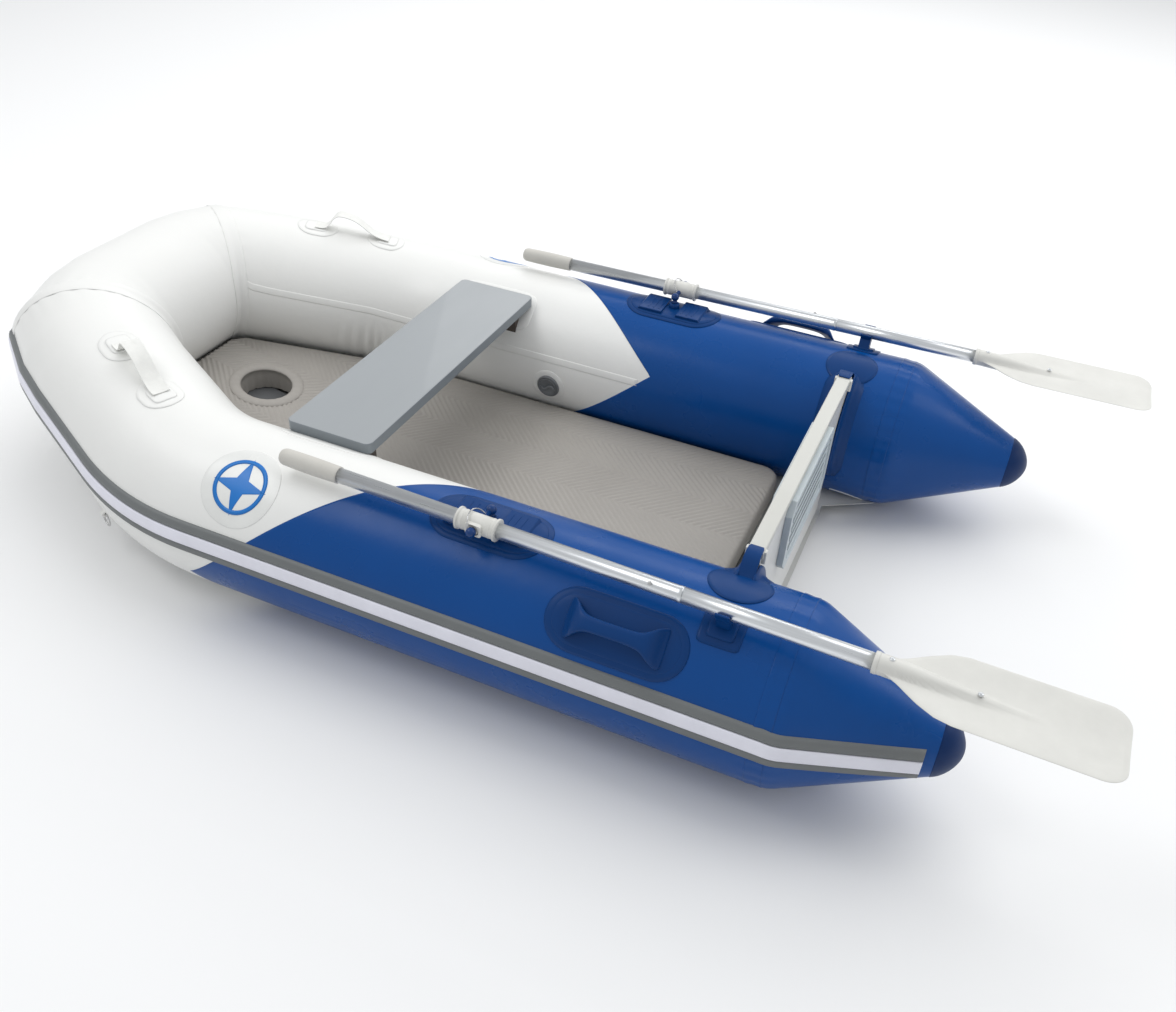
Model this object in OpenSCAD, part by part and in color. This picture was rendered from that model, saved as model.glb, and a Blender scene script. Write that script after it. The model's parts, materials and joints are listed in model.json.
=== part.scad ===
/* [Hull] */
// length from the nose face to the stern cone ends
hull_l = 2368; // [2000:10:3200]
// width over the two side tubes
hull_w = 1318; // [1100:10:1700]
// diameter of the inflated tubes
tube_d = 360; // [300:5:450]
// coated fabric thickness
fabric_t = 1.2; // [0.8:0.1:2]
// nose face back to the first bend of the bow
bend_s = 695; // [600:5:900]
// nose face back to the second bend of the bow
shoulder_s = 250; // [235:5:320]
// half spacing of the tube axes at the second bend
shoulder_y = 275; // [230:5:380]
// straight width of the nose tube
nose_w = 384; // [300:4:460]
// height the nose tube is lifted
bow_rise = 101; // [60:1:160]
// share of the lift reached at the second bend
rise_share = 0.85; // [0.7:0.01:0.95]
// length of each stern cone
cone_l = 323; // [250:1:420]
// diameter of a stern cone at its end
cone_end_d = 82; // [60:1:120]

/* [Rubbing strake] */
// width of the strake round the tube, measured upright
strake_h = 67; // [40:1:90]
// strake thickness
strake_t = 7; // [4:0.5:12]
// width of the pale stripe along its middle
stripe_h = 28; // [12:1:36]
// stripe thickness over the strake
stripe_t = 1.5; // [1:0.5:3]
// gap between the ends of neighbouring strake lengths
seam = 0.4; // [0.2:0.1:2]

/* [Floor and bottom] */
// height of the air floor's upper face
floor_top = 99; // [90:1:130]
// air floor thickness
floor_t = 55; // [40:1:60]
// diameter of the hand hole in the floor
hole_d = 130; // [90:5:160]
// nose face back to the middle of the hand hole
hole_s = 520; // [480:5:560]
// slope of the floor's raised fore part in degrees
floor_slope = 9.8; // [6:0.1:12]

/* [Seat] */
// how far each seat end laps over its tube
seat_lap = 82; // [60:1:110]
// seat width
seat_w = 206; // [160:2:260]
// seat board thickness
seat_t = 26; // [18:1:32]
// nose face back to the seat's middle
seat_s = 998; // [940:2:1120]

/* [Transom] */
// stern cone ends forward to the transom's fore face
transom_in = 461; // [420:1:520]
// transom board thickness
transom_t = 26; // [18:1:36]
// height of the transom's top edge over the tubes
transom_up = 12; // [6:1:80]

/* [Oars] */
// oar shaft diameter
shaft_d = 30; // [26:1:36]
// height of the oar axis over the tubes
oar_up = 32; // [30:1:50]
// nose face back to the rowlock
rowlock_s = 1445; // [1400:5:1500]
// rowlock back along the oar to the grip's end
oar_in = 443; // [380:1:520]
// rowlock out along the oar to the blade's end
oar_out = 1132; // [1000:2:1300]
// blade length
blade_l = 395; // [320:5:460]
// blade width
blade_w = 164; // [120:2:200]
// angle the stowed oars splay out towards the stern
splay = 1.45; // [0:0.05:3]

/* [Hidden] */
$fn = 64;
tr = tube_d / 2;
ti = tr - fabric_t;
ay = (hull_w - tube_d) / 2;
blade_r = 38;
neck_t = oar_out - blade_l;
arm = 48;
pin_y = ay + 13;
// nose face back to the blade ends
oar_end = rowlock_s + cos(splay) * (oar_out - blade_r) - sin(splay) * arm
    + sin(splay) * (blade_w / 2 - blade_r) + blade_r;
all_l = max(hull_l, oar_end);
x0 = -all_l / 2;
nose_x = x0 + tr + strake_t + stripe_t;
cone_x = x0 + hull_l - cone_l;
end_x = x0 + hull_l;
cap_l = 44;
bend = [x0 + bend_s, ay, tr];
shoulder = [x0 + shoulder_s, shoulder_y, tr + bow_rise * rise_share];
nose = [nose_x, nose_w / 2, tr + bow_rise];
nose_p = [nose_x, -nose_w / 2, tr + bow_rise];
split_x = x0 + 1135;
split_a = 324;
end_r = cone_end_d / 2;
cone_rate = (tr - end_r) / (cone_l - 4);
seat_x = x0 + seat_s;
tran_x = end_x - transom_in;
transom_top = tube_d + transom_up;
oar_z = tube_d + oar_up;
seat_y = ay - tr + seat_lap;
seat_z = tr + sqrt(tr * tr - pow(ay - seat_y, 2)) + 0.5;
pin_x = x0 + rowlock_s;
floor_aft = tran_x - 77;
knee = bend[0];
half_floor = ay - sqrt(tr * tr - pow(tr - floor_top, 2));
clip_t = 482;
clip_ang = atan2(oar_z - tr, pin_y - ay + arm * cos(splay) + clip_t * sin(splay));
clip_x = pin_x + clip_t * cos(splay) - arm * sin(splay);
big = 1500;

function unit(v) = v / norm(v);

module flip(port) {
    if (port)
        mirror([0, 1, 0]) children();
    else
        children();
}

// turns +Z of the children onto a direction
module aim(v) {
    rotate([0, acos(v[2] / norm(v)), atan2(v[1], v[0])]) children();
}

// keeps the side of a plane that its normal points to
module half_space(p, n) {
    translate(p) aim(n) translate([-big, -big, 0]) cube([2 * big, 2 * big, 2 * big]);
}

// round rod between two points, run on past both ends
module rod(a, b, r, over) {
    v = b - a;
    translate(a) aim(v) translate([0, 0, -over]) cylinder(r = r, h = norm(v) + 2 * over);
}

// pipe between two points with mitred ends, each cut back by half of a gap
module mitre_pipe(a, b, before, after, ro, ri, gap = 0) {
    d = unit(b - a);
    intersection() {
        difference() {
            rod(a, b, ro, tr);
            rod(a, b, ri, tr + 20);
        }
        half_space(a + d * gap / 2, unit(d + unit(a - before)));
        half_space(b - d * gap / 2, -unit(d + unit(after - b)));
    }
}

// frame of the tube beside the cockpit: X along it, Z up, starting at its axis
module on_side(x) {
    translate([x, ay, tr]) children();
}

// frame of the quarter tube: X runs from the bend towards the nose, Z out of its crest
module on_quarter(s) {
    d = unit(shoulder - bend);
    translate(bend + d * s)
        rotate([0, 0, atan2(d[1], d[0])])
        rotate([0, -asin(d[2]), 0])
        children();
}

// radial frame on a side tube: Z points out at an angle above the outer equator
module radial(x, ang) {
    on_side(x) rotate([ang - 90, 0, 0]) children();
}

// long round bar on the X axis, for cutting a part to its tube
module along_x(r) {
    translate([-400, 0, 0]) rotate([0, 90, 0]) cylinder(r = r, h = 800, $fn = 240);
}

// oval patch lying on a tube, in a radial frame
module patch(l, w, t) {
    intersection() {
        along_x(tr + t);
        translate([0, 0, tr - 30]) stadium(l, w, 60);
    }
}

// the part of a side tube's surroundings between two angles
module sector(a1, a2) {
    intersection() {
        children();
        half_space([0, ay, tr], [0, cos(a1 + 90), sin(a1 + 90)]);
        half_space([0, ay, tr], [0, cos(a2 - 90), sin(a2 - 90)]);
    }
}

// every tube as one solid, for cutting the floor and the bottom to the hull
module tube_space(r) {
    for (m = [0, 1])
        flip(m == 1) {
            rod([cone_x, ay, tr], bend, r, 30);
            rod(bend, shoulder, r, 20);
            rod(shoulder, nose, r, 10);
        }
    rod(nose, nose_p, r, 10);
}

// tips the part ahead of the bend upwards with the bow
module sloped() {
    translate([knee, 0, floor_top]) rotate([0, floor_slope, 0])
        translate([-knee, 0, -floor_top]) children();
}

// rounded bar seen from above, extruded along Z
module stadium(l, w, h) {
    translate([-(l - w) / 2, -w / 2, 0]) cube([l - w, w, h]);
    translate([-(l - w) / 2, 0, 0]) cylinder(d = w, h = h);
    translate([(l - w) / 2, 0, 0]) cylinder(d = w, h = h);
}

// ---- inflated tubes ----

// the far mitres of the shoulders trim the inner wall, where the shoulders run out
module bow_tube() {
    shoulder_p = [shoulder[0], -shoulder[1], shoulder[2]];
    n = unit(unit(shoulder - bend) + unit(nose - shoulder));
    color([0.90, 0.90, 0.89]) intersection() {
        mitre_pipe(nose, nose_p, shoulder, shoulder_p, tr, ti);
        half_space(shoulder, n);
        half_space(shoulder_p, [n[0], -n[1], n[2]]);
    }
}

module bow_shoulder(port) {
    color([0.90, 0.90, 0.89]) flip(port)
        mitre_pipe(shoulder, nose, bend, nose_p, tr, ti);
}

module quarter_tube(port) {
    color([0.90, 0.90, 0.89]) flip(port)
        mitre_pipe(bend, shoulder, bend + [100, 0, 0], nose, tr, ti);
}

module split_side(port, fore) {
    n = [1, split_a / tr * cos(25), -split_a / tr * sin(25)];
    flip(port) intersection() {
        difference() {
            rod([cone_x, ay, tr], bend, tr, tr);
            rod([cone_x, ay, tr], bend, ti, tr + 20);
        }
        half_space(bend, unit([1, 0, 0] + unit(bend - shoulder)));
        half_space([cone_x, ay, tr], [-1, 0, 0]);
        half_space([split_x, ay, tr], fore ? -n : n);
    }
}

module side_tube_fore(port) {
    color([0.90, 0.90, 0.89]) split_side(port, true);
}

module side_tube_aft(port) {
    color([0.02, 0.20, 0.50]) split_side(port, false);
}

module cone_solid(grow, from, to) {
    translate([cone_x + from, ay, tr]) rotate([0, 90, 0])
        cylinder(r1 = tr - cone_rate * from + grow, r2 = tr - cone_rate * to + grow, h = to - from);
}

module stern_cone(port) {
    color([0.02, 0.20, 0.50]) flip(port) difference() {
        cone_solid(0, 0, cone_l - 4);
        cone_solid(-fabric_t * 1.1, -0.01, cone_l - 3.99);
    }
}

module cone_cap(port) {
    color([0.01, 0.12, 0.32]) flip(port) {
        difference() {
            cone_solid(2.5, cone_l - cap_l, cone_l - 4);
            cone_solid(0, cone_l - cap_l - 1, cone_l - 3);
        }
        translate([end_x - 4, ay, tr]) rotate([0, 90, 0])
            cylinder(r1 = end_r + 2.5, r2 = end_r - 3, h = 4);
    }
}

// ---- rubbing strake ----

module band_slab(z1, z2) {
    translate([-2 * big, 0, z1]) cube([4 * big, big, z2 - z1]);
}

module strake_side(ri, ro, z1, z2) {
    intersection() {
        difference() {
            rod([cone_x, ay, tr], bend, ro, tr);
            rod([cone_x, ay, tr], bend, ri, tr + 20);
        }
        half_space(bend + [seam / 2, 0, 0], unit([1, 0, 0] + unit(bend - shoulder)));
        half_space([cone_x - seam / 2, ay, tr], [-1, 0, 0]);
        translate([0, ay, tr]) band_slab(z1, z2);
    }
}

module strake_quarter(ri, ro, z1, z2) {
    intersection() {
        mitre_pipe(bend, shoulder, bend + [100, 0, 0], nose, ro, ri, seam);
        on_quarter(0) mirror([0, 1, 0]) band_slab(z1, z2);
    }
}

module strake_shoulder(ri, ro, z1, z2) {
    d = unit(nose - shoulder);
    intersection() {
        mitre_pipe(shoulder, nose, bend, nose_p, ro, ri, seam);
        translate(shoulder) rotate([0, 0, atan2(d[1], d[0])]) rotate([0, -asin(d[2]), 0])
            mirror([0, 1, 0]) band_slab(z1, z2);
    }
}

module strake_nose(ri, ro, z1, z2) {
    shoulder_p = [shoulder[0], -shoulder[1], shoulder[2]];
    intersection() {
        mitre_pipe(nose, nose_p, shoulder, shoulder_p, ro, ri, seam);
        translate(nose) rotate([0, 0, 90]) band_slab(z1, z2);
    }
}

module strake_cone(ri, ro, z1, z2) {
    run = cone_l - cap_l - 16;
    sink = atan2((z1 + z2) / 2 * 0.9, run);
    intersection() {
        difference() {
            cone_solid(ro - tr, seam / 2, run);
            cone_solid(ri - tr, -1, run + 1);
        }
        translate([cone_x, ay, tr]) rotate([0, sink, 0]) band_slab(z1, z2);
    }
}

module strake_all(ri, ro, z1, z2) {
    strake_nose(ri, ro, z1, z2);
    for (m = [0, 1])
        flip(m == 1) {
            strake_shoulder(ri, ro, z1, z2);
            strake_quarter(ri, ro, z1, z2);
            strake_side(ri, ro, z1, z2);
            strake_cone(ri, ro, z1, z2);
        }
}

module rubbing_strake() {
    color([0.42, 0.44, 0.44])
        strake_all(tr, tr + strake_t, 0, strake_h);
}

module strake_stripe() {
    color([0.88, 0.88, 0.94])
        strake_all(tr + strake_t, tr + strake_t + stripe_t,
            (strake_h - stripe_h) / 2, (strake_h + stripe_h) / 2);
}

// ---- floor and bottom ----

module bottom_section(x1, x2) {
    translate([x1, 0, 0]) rotate([90, 0, 90]) linear_extrude(x2 - x1)
        polygon([[-ay + 96, 32], [-60, 5.5], [60, 5.5], [ay - 96, 32],
            [ay - 96, 30], [60, 4], [-60, 4], [-ay + 96, 30]]);
}

// plan of the bottom ahead of the bend, ending under the middle of the tubes
module bow_plan(z1, z2) {
    translate([0, 0, z1]) linear_extrude(z2 - z1)
        polygon([[knee + 40, -ay], [knee + 40, ay], [bend[0], ay], [shoulder[0], shoulder_y],
            [nose_x, nose_w / 2], [nose_x, -nose_w / 2], [shoulder[0], -shoulder_y],
            [bend[0], -ay]]);
}

// outline cut out of the bottom behind the transom, leaving a tapered flap on each tube
module stern_cut(x1, x2) {
    y1 = ay - tr + 12;
    y2 = ay - 102;
    translate([0, 0, -20]) linear_extrude(160)
        polygon([[x1, -y1], [x2, -y2], [x2, y2], [x1, y1]]);
}

module bottom_skin() {
    aft = tran_x + transom_t + 120;
    color([0.86, 0.86, 0.85]) difference() {
        union() {
            bottom_section(knee, aft);
            intersection() {
                sloped() bottom_section(x0 + 180, knee + 17);
                bow_plan(-20, 160);
            }
        }
        tube_space(tr);
        stern_cut(tran_x + transom_t + 6, aft + 1);
    }
}

// long slab between two depths under the floor's upper face, bent up at the knee
module bent_slab(top, bottom, w) {
    run = [-700, 700 * tan(floor_slope)];
    a = [knee - top * tan(floor_slope / 2), floor_top - top];
    b = [knee - bottom * tan(floor_slope / 2), floor_top - bottom];
    translate([0, w, 0]) rotate([90, 0, 0]) linear_extrude(2 * w)
        polygon([a + run, a, [end_x, a[1]], [end_x, b[1]], b, b + run]);
}

module keel_form(t) {
    w = 60 - t;
    intersection() {
        bent_slab(floor_t + 2 + t, floor_t + 36 - t, w);
        translate([x0 + 300 + t, -w, 0]) cube([tran_x - 60 - 2 * t - x0 - 300, 2 * w, 300]);
    }
}

module keel_tube() {
    color([0.30, 0.31, 0.33]) difference() {
        keel_form(0);
        keel_form(fabric_t);
    }
}

// where two lines in plan cross, each given as a point and a direction
function meet(p, d, q, e) = p + d * cross(q - p, e) / cross(d, e);

// plan of one tube's inner face at floor height, as a point moved in from the tube's axis
function inner_point(a, d, reach) = [a[0] + d[1] * reach, a[1] - d[0] * reach];

function plan_of(v) = unit([v[0], v[1]]);

// plan of the floor, kept in from the tubes by a gap
module floor_plan(gap, h) {
    along = plan_of(bend - shoulder);
    across = plan_of(shoulder - nose);
    reach = ay - half_floor + gap;
    fore_reach = reach - 20;
    quarter_in = inner_point(bend, along, reach);
    shoulder_in = inner_point(shoulder, across, reach);
    nose_in = [nose_x + fore_reach, 0];
    p1 = meet(quarter_in, along, [0, ay - reach], [1, 0]);
    p2 = meet(quarter_in, along, shoulder_in, across);
    p3 = meet(shoulder_in, across, nose_in, [0, 1]);
    c = 55;
    half = [p3, p2, p1, [floor_aft - c, p1[1]], [floor_aft - gap, p1[1] - c + gap]];
    linear_extrude(h)
        polygon(concat(half, [for (i = [len(half) - 1:-1:0]) [half[i][0], -half[i][1]]]));
}

module floor_form(t) {
    intersection() {
        bent_slab(t, floor_t - t, ay);
        floor_plan(4 + t, 400);
    }
}

module air_floor() {
    w = 2.4;
    color([0.66, 0.65, 0.62]) difference() {
        floor_form(0);
        difference() {
            floor_form(w);
            sloped() translate([x0 + hole_s, 0, -50]) cylinder(d = hole_d + 2 * w, h = 250);
        }
        sloped() translate([x0 + hole_s, 0, -50]) cylinder(d = hole_d, h = 250);
    }
}

module floor_hole_rim() {
    color([0.60, 0.59, 0.56]) sloped() translate([x0 + hole_s, 0, floor_top])
        intersection() {
            rotate_extrude() translate([hole_d / 2 + 9, 0]) circle(r = 9);
            cylinder(r = hole_d, h = 20);
        }
}

// ---- seat ----

module seat_board() {
    l = 2 * seat_y;
    r = 12;
    color([0.60, 0.63, 0.65]) translate([seat_x, 0, seat_z]) {
        translate([-seat_w / 2 + r, -l / 2, 0]) cube([seat_w - 2 * r, l, seat_t]);
        translate([-seat_w / 2, -l / 2 + r, 0]) cube([seat_w, l - 2 * r, seat_t]);
        for (x = [-1, 1])
            for (y = [-1, 1])
                translate([x * (seat_w / 2 - r), y * (l / 2 - r), 0]) cylinder(r = r, h = seat_t);
    }
}

module seat_bracket(port) {
    color([0.22, 0.20, 0.19]) flip(port) difference() {
        translate([seat_x - 80, seat_y - 56, seat_z - 70]) cube([160, 54, 70]);
        on_side(seat_x) along_x(tr);
    }
}

// ---- transom ----

module transom_space() {
    translate([tran_x, -seat_y + 22, 180]) cube([transom_t, 2 * seat_y - 44, transom_top - 186]);
    translate([tran_x, -ay + tr + 18, 36]) cube([transom_t, 2 * (ay - tr - 18), 146]);
}

module transom_board() {
    color([0.88, 0.88, 0.86]) difference() {
        transom_space();
        for (m = [0, 1])
            flip(m == 1) on_side(tran_x) along_x(tr + 14);
    }
}

module transom_cap() {
    l = 2 * seat_y - 52;
    color([0.83, 0.82, 0.78]) difference() {
        translate([tran_x - 3, -l / 2, transom_top - 16]) cube([transom_t + 6, l, 16]);
        translate([tran_x, -l / 2 - 1, transom_top - 20]) cube([transom_t, l + 2, 14]);
    }
}

module motor_plate(x, t) {
    color([0.72, 0.76, 0.78]) translate([x, 0, transom_top - 16])
        rotate([90, 0, 90]) linear_extrude(t)
        polygon([[-150, 0], [-175, -24], [-175, -150], [-150, -176],
            [150, -176], [175, -150], [175, -24], [150, 0]]);
}

module motor_plate_fore() {
    motor_plate(tran_x - 9, 9);
}

module motor_plate_aft() {
    motor_plate(tran_x + transom_t, 14);
}

module transom_holder(port) {
    color([0.01, 0.15, 0.40]) flip(port) {
        difference() {
            union() {
                sector(112, 196) translate([tran_x - 10, ay, tr]) rotate([0, 90, 0])
                    cylinder(r = tr + 30, h = transom_t + 20, $fn = 240);
                radial(tran_x + 10, 106) patch(126, 112, 2.5);
            }
            on_side(tran_x) along_x(tr);
            difference() {
                translate([tran_x, -10, -10]) cube([transom_t, ay + 10, 500]);
                on_side(tran_x) along_x(tr + 14);
            }
        }
    }
}

// ---- oars and rowlocks ----

// frame of a stowed oar: X runs back along it from the rowlock, Y outboard
module oar_frame(port) {
    flip(port) translate([pin_x, pin_y, oar_z]) rotate([0, 0, splay]) children();
}

module shaft_bar(t1, t2, r) {
    translate([t1, arm, 0]) rotate([0, 90, 0]) cylinder(r = r, h = t2 - t1);
}

module rowlock_base(port) {
    top = oar_up - 24;
    color([0.01, 0.15, 0.42]) flip(port) difference() {
        union() {
            radial(pin_x, 86) patch(236, 128, 3);
            translate([pin_x, pin_y + 36, tube_d]) rotate([90, 0, 0]) linear_extrude(84) {
                polygon([[-106, -24], [-78, top], [-18, top], [-18, -24]]);
                polygon([[18, -24], [18, top], [78, top], [106, -24]]);
            }
            translate([pin_x, pin_y, tube_d - 14]) cylinder(r = 13, h = 14 + oar_up - 16);
        }
        on_side(pin_x) along_x(tr);
        translate([pin_x, pin_y, tube_d + 4]) cylinder(r = 6.06, h = 40);
    }
}

module rowlock_pin(port) {
    color([0.02, 0.18, 0.45]) oar_frame(port) {
        translate([0, 0, 4.2 - oar_up]) cylinder(r = 6, h = oar_up - 4.2);
        sphere(r = 10);
        rotate([-90, 0, 0]) cylinder(r = 5, h = arm + 24);
        translate([0, arm + 29, 0]) sphere(r = 10);
    }
}

module keeper_wire(port) {
    color([0.55, 0.56, 0.58]) oar_frame(port) difference() {
        translate([0, arm, 0]) rotate([0, -35, 0]) rotate([90, 0, 90])
            rotate_extrude(angle = 180) translate([29, 0]) circle(r = 1.2);
        translate([0, arm + 29, 0]) sphere(r = 10);
        rotate([-90, 0, 0]) cylinder(r = 5, h = arm + 24);
    }
}

module oar_collar(port) {
    color([0.84, 0.83, 0.79]) oar_frame(port) difference() {
        union() {
            shaft_bar(-42, 42, 19.5);
            shaft_bar(-42, -37, 22);
            shaft_bar(37, 42, 22);
        }
        shaft_bar(-43, 43, shaft_d / 2 + 0.05);
        rotate([-90, 0, 0]) cylinder(r = 5.06, h = 2 * arm);
    }
}

module oar_grip(port) {
    color([0.84, 0.83, 0.80]) oar_frame(port) difference() {
        union() {
            shaft_bar(-oar_in + 8, -oar_in + 136, shaft_d / 2 + 2.5);
            translate([-oar_in, arm, 0]) rotate([0, 90, 0])
                cylinder(r1 = shaft_d / 2 - 2, r2 = shaft_d / 2 + 2.5, h = 8);
        }
        shaft_bar(-oar_in + 10, -oar_in + 137, shaft_d / 2 + 0.05);
    }
}

module button_hole() {
    translate([345, arm, 0]) rotate([-45, 0, 0]) cylinder(r = 4.4, h = 40);
}

module oar_shaft_upper(port) {
    color([0.80, 0.81, 0.83]) oar_frame(port) difference() {
        shaft_bar(-oar_in + 11, 404, shaft_d / 2);
        shaft_bar(-oar_in + 10, 405, shaft_d / 2 - 1.5);
        rotate([-90, 0, 0]) cylinder(r = 5.6, h = 2 * arm);
        button_hole();
    }
}

module oar_shaft_lower(port) {
    color([0.80, 0.81, 0.83]) oar_frame(port) difference() {
        union() {
            shaft_bar(404, neck_t + 86, shaft_d / 2);
            shaft_bar(310, 405, shaft_d / 2 - 1.6);
        }
        shaft_bar(309, neck_t + 87, shaft_d / 2 - 3.1);
        button_hole();
    }
}

module oar_button(port) {
    color([0.75, 0.76, 0.78]) oar_frame(port) translate([345, arm, 0]) rotate([-45, 0, 0])
        translate([0, 0, shaft_d / 2 - 7]) {
            cylinder(r = 4, h = 8.5);
            translate([0, 0, 8.5]) cylinder(r1 = 4, r2 = 2.5, h = 1.5);
        }
}

module oar_blade(port) {
    w = blade_w / 2;
    t = oar_out;
    n = neck_t;
    color([0.87, 0.87, 0.83]) oar_frame(port) difference() {
        union() {
            shaft_bar(n, n + 90, shaft_d / 2 + 3.5);
            translate([n + 90, arm, 0]) rotate([0, 90, 0])
                cylinder(r1 = shaft_d / 2 + 3.5, r2 = 4, h = blade_l - 135);
            translate([0, arm, -2.5]) linear_extrude(5)
                polygon([[n + 22, -17], [n + 62, -42], [n + 112, -w + 6], [n + 140, -w],
                    [t - blade_r, -w], [t - blade_r, w], [n + 140, w], [n + 112, w - 6],
                    [n + 62, 42], [n + 22, 17]]);
            translate([t - blade_r - 1, arm - w + blade_r, -2.5])
                cube([blade_r + 1, 2 * (w - blade_r), 5]);
            for (y = [-1, 1])
                translate([t - blade_r, arm + y * (w - blade_r), -2.5])
                    cylinder(r = blade_r, h = 5);
        }
        shaft_bar(n - 1, n + 88, shaft_d / 2 + 0.05);
    }
}

module oar_clip(port) {
    d = norm([pin_y - ay + arm * cos(splay) + clip_t * sin(splay), oar_z - tr]);
    r = shaft_d / 2 + 0.7;
    color([0.01, 0.15, 0.42]) flip(port) radial(clip_x, clip_ang) difference() {
        union() {
            patch(84, 62, 3.5);
            translate([-13, -12, tr]) cube([26, 24, d - tr - 8]);
            translate([-13, 0, d]) rotate([0, 90, 0]) cylinder(r = r + 4.5, h = 26);
            translate([-13, r - 1, d]) cube([26, 5.5, 22]);
        }
        along_x(tr);
        translate([-14, 0, d]) rotate([0, 90, 0]) cylinder(r = r, h = 28);
        translate([-14, -r + 2.5, d]) cube([28, 2 * r - 5, 40]);
        translate([-14, -40, d + 9]) cube([28, 40, 40]);
    }
}

// ---- hull fittings ----

module grab_handle(port) {
    foot = [[-100, -8], [-56, -8], [-66, 20], [-66, 36], [-84, 36]];
    color([0.01, 0.16, 0.44]) flip(port) radial(pin_x + 306, 45) difference() {
        union() {
            patch(272, 118, 3);
            for (m = [0, 1])
                mirror([m, 0, 0]) translate([0, 20, tr]) rotate([90, 0, 0])
                    linear_extrude(40) polygon(foot);
            translate([-78, 0, tr + 28]) rotate([0, 90, 0]) cylinder(r = 8, h = 156);
        }
        along_x(tr);
    }
}

module bow_strap(port) {
    rise = 48;
    half = 74;
    r = (half * half + rise * rise) / (2 * rise);
    a = asin(half / r);
    color([0.90, 0.90, 0.88]) flip(port) on_quarter(205) difference() {
        union() {
            translate([0, 0, tr + rise - r]) rotate([90, 0, 0]) rotate([0, 0, 90 - a])
                rotate_extrude(angle = 2 * a) translate([r, -19]) square([2.2, 38]);
            for (x = [-94, 94])
                translate([x, 0, 0]) patch(84, 62, 2.5);
        }
        along_x(tr);
    }
}

module tow_eye(port) {
    color([0.84, 0.84, 0.82]) flip(port) on_quarter(112) rotate([122, 0, 0]) difference() {
        union() {
            patch(64, 48, 2.5);
            translate([-5, -7, tr - 3]) cube([10, 14, 19]);
        }
        along_x(tr);
        translate([-6, 0, tr + 9]) rotate([0, 90, 0]) cylinder(r = 3.6, h = 12);
    }
}

module tow_ring(port) {
    color([0.62, 0.63, 0.65]) flip(port) on_quarter(112) rotate([122, 0, 0])
        translate([0, 0, tr + 9]) rotate([-122, 0, 0]) translate([0, 0, -18])
        rotate([90, 0, 0]) rotate_extrude() translate([18, 0]) circle(r = 2);
}

module valve_body(port) {
    color([0.45, 0.46, 0.47]) flip(port) radial(x0 + 1187, 187) difference() {
        translate([0, 0, tr - 6]) cylinder(r = 31, h = 11.4);
        along_x(tr);
        translate([0, 0, tr + 2.3]) cylinder(r = 25.4, h = 10);
    }
}

module valve_cap(port) {
    color([0.52, 0.53, 0.54]) flip(port) radial(x0 + 1187, 187) translate([0, 0, tr + 2.6]) {
        cylinder(r = 25, h = 4.4);
        translate([-20, -3, 4]) cube([40, 6, 6]);
    }
}

bow_tube();
bow_shoulder(true);  // bow_shoulder_port
bow_shoulder(false);  // bow_shoulder_starboard
quarter_tube(true);  // quarter_tube_port
quarter_tube(false);  // quarter_tube_starboard
side_tube_fore(true);  // side_tube_fore_port
side_tube_fore(false);  // side_tube_fore_starboard
side_tube_aft(true);  // side_tube_aft_port
side_tube_aft(false);  // side_tube_aft_starboard
stern_cone(true);  // stern_cone_port
stern_cone(false);  // stern_cone_starboard
cone_cap(true);  // cone_cap_port
cone_cap(false);  // cone_cap_starboard
rubbing_strake();
strake_stripe();
bottom_skin();
keel_tube();
air_floor();
floor_hole_rim();
seat_board();
seat_bracket(true);  // seat_bracket_port
seat_bracket(false);  // seat_bracket_starboard
transom_board();
transom_cap();
motor_plate_fore();
motor_plate_aft();
transom_holder(true);  // transom_holder_port
transom_holder(false);  // transom_holder_starboard
rowlock_base(true);  // rowlock_base_port
rowlock_base(false);  // rowlock_base_starboard
rowlock_pin(true);  // rowlock_pin_port
rowlock_pin(false);  // rowlock_pin_starboard
keeper_wire(true);  // keeper_wire_port
keeper_wire(false);  // keeper_wire_starboard
oar_collar(true);  // oar_collar_port
oar_collar(false);  // oar_collar_starboard
oar_grip(true);  // oar_grip_port
oar_grip(false);  // oar_grip_starboard
oar_shaft_upper(true);  // oar_shaft_upper_port
oar_shaft_upper(false);  // oar_shaft_upper_starboard
oar_shaft_lower(true);  // oar_shaft_lower_port
oar_shaft_lower(false);  // oar_shaft_lower_starboard
oar_button(true);  // oar_button_port
oar_button(false);  // oar_button_starboard
oar_blade(true);  // oar_blade_port
oar_blade(false);  // oar_blade_starboard
oar_clip(true);  // oar_clip_port
oar_clip(false);  // oar_clip_starboard
grab_handle(true);  // grab_handle_port
grab_handle(false);  // grab_handle_starboard
bow_strap(true);  // bow_strap_port
bow_strap(false);  // bow_strap_starboard
tow_eye(true);  // tow_eye_port
tow_eye(false);  // tow_eye_starboard
tow_ring(true);  // tow_ring_port
tow_ring(false);  // tow_ring_starboard
valve_body(true);  // valve_body_port
valve_body(false);  // valve_body_starboard
valve_cap(true);  // valve_cap_port
valve_cap(false);  // valve_cap_starboard
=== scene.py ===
import json
import math
import bpy
import bmesh
from mathutils import Matrix, Vector, noise


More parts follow.
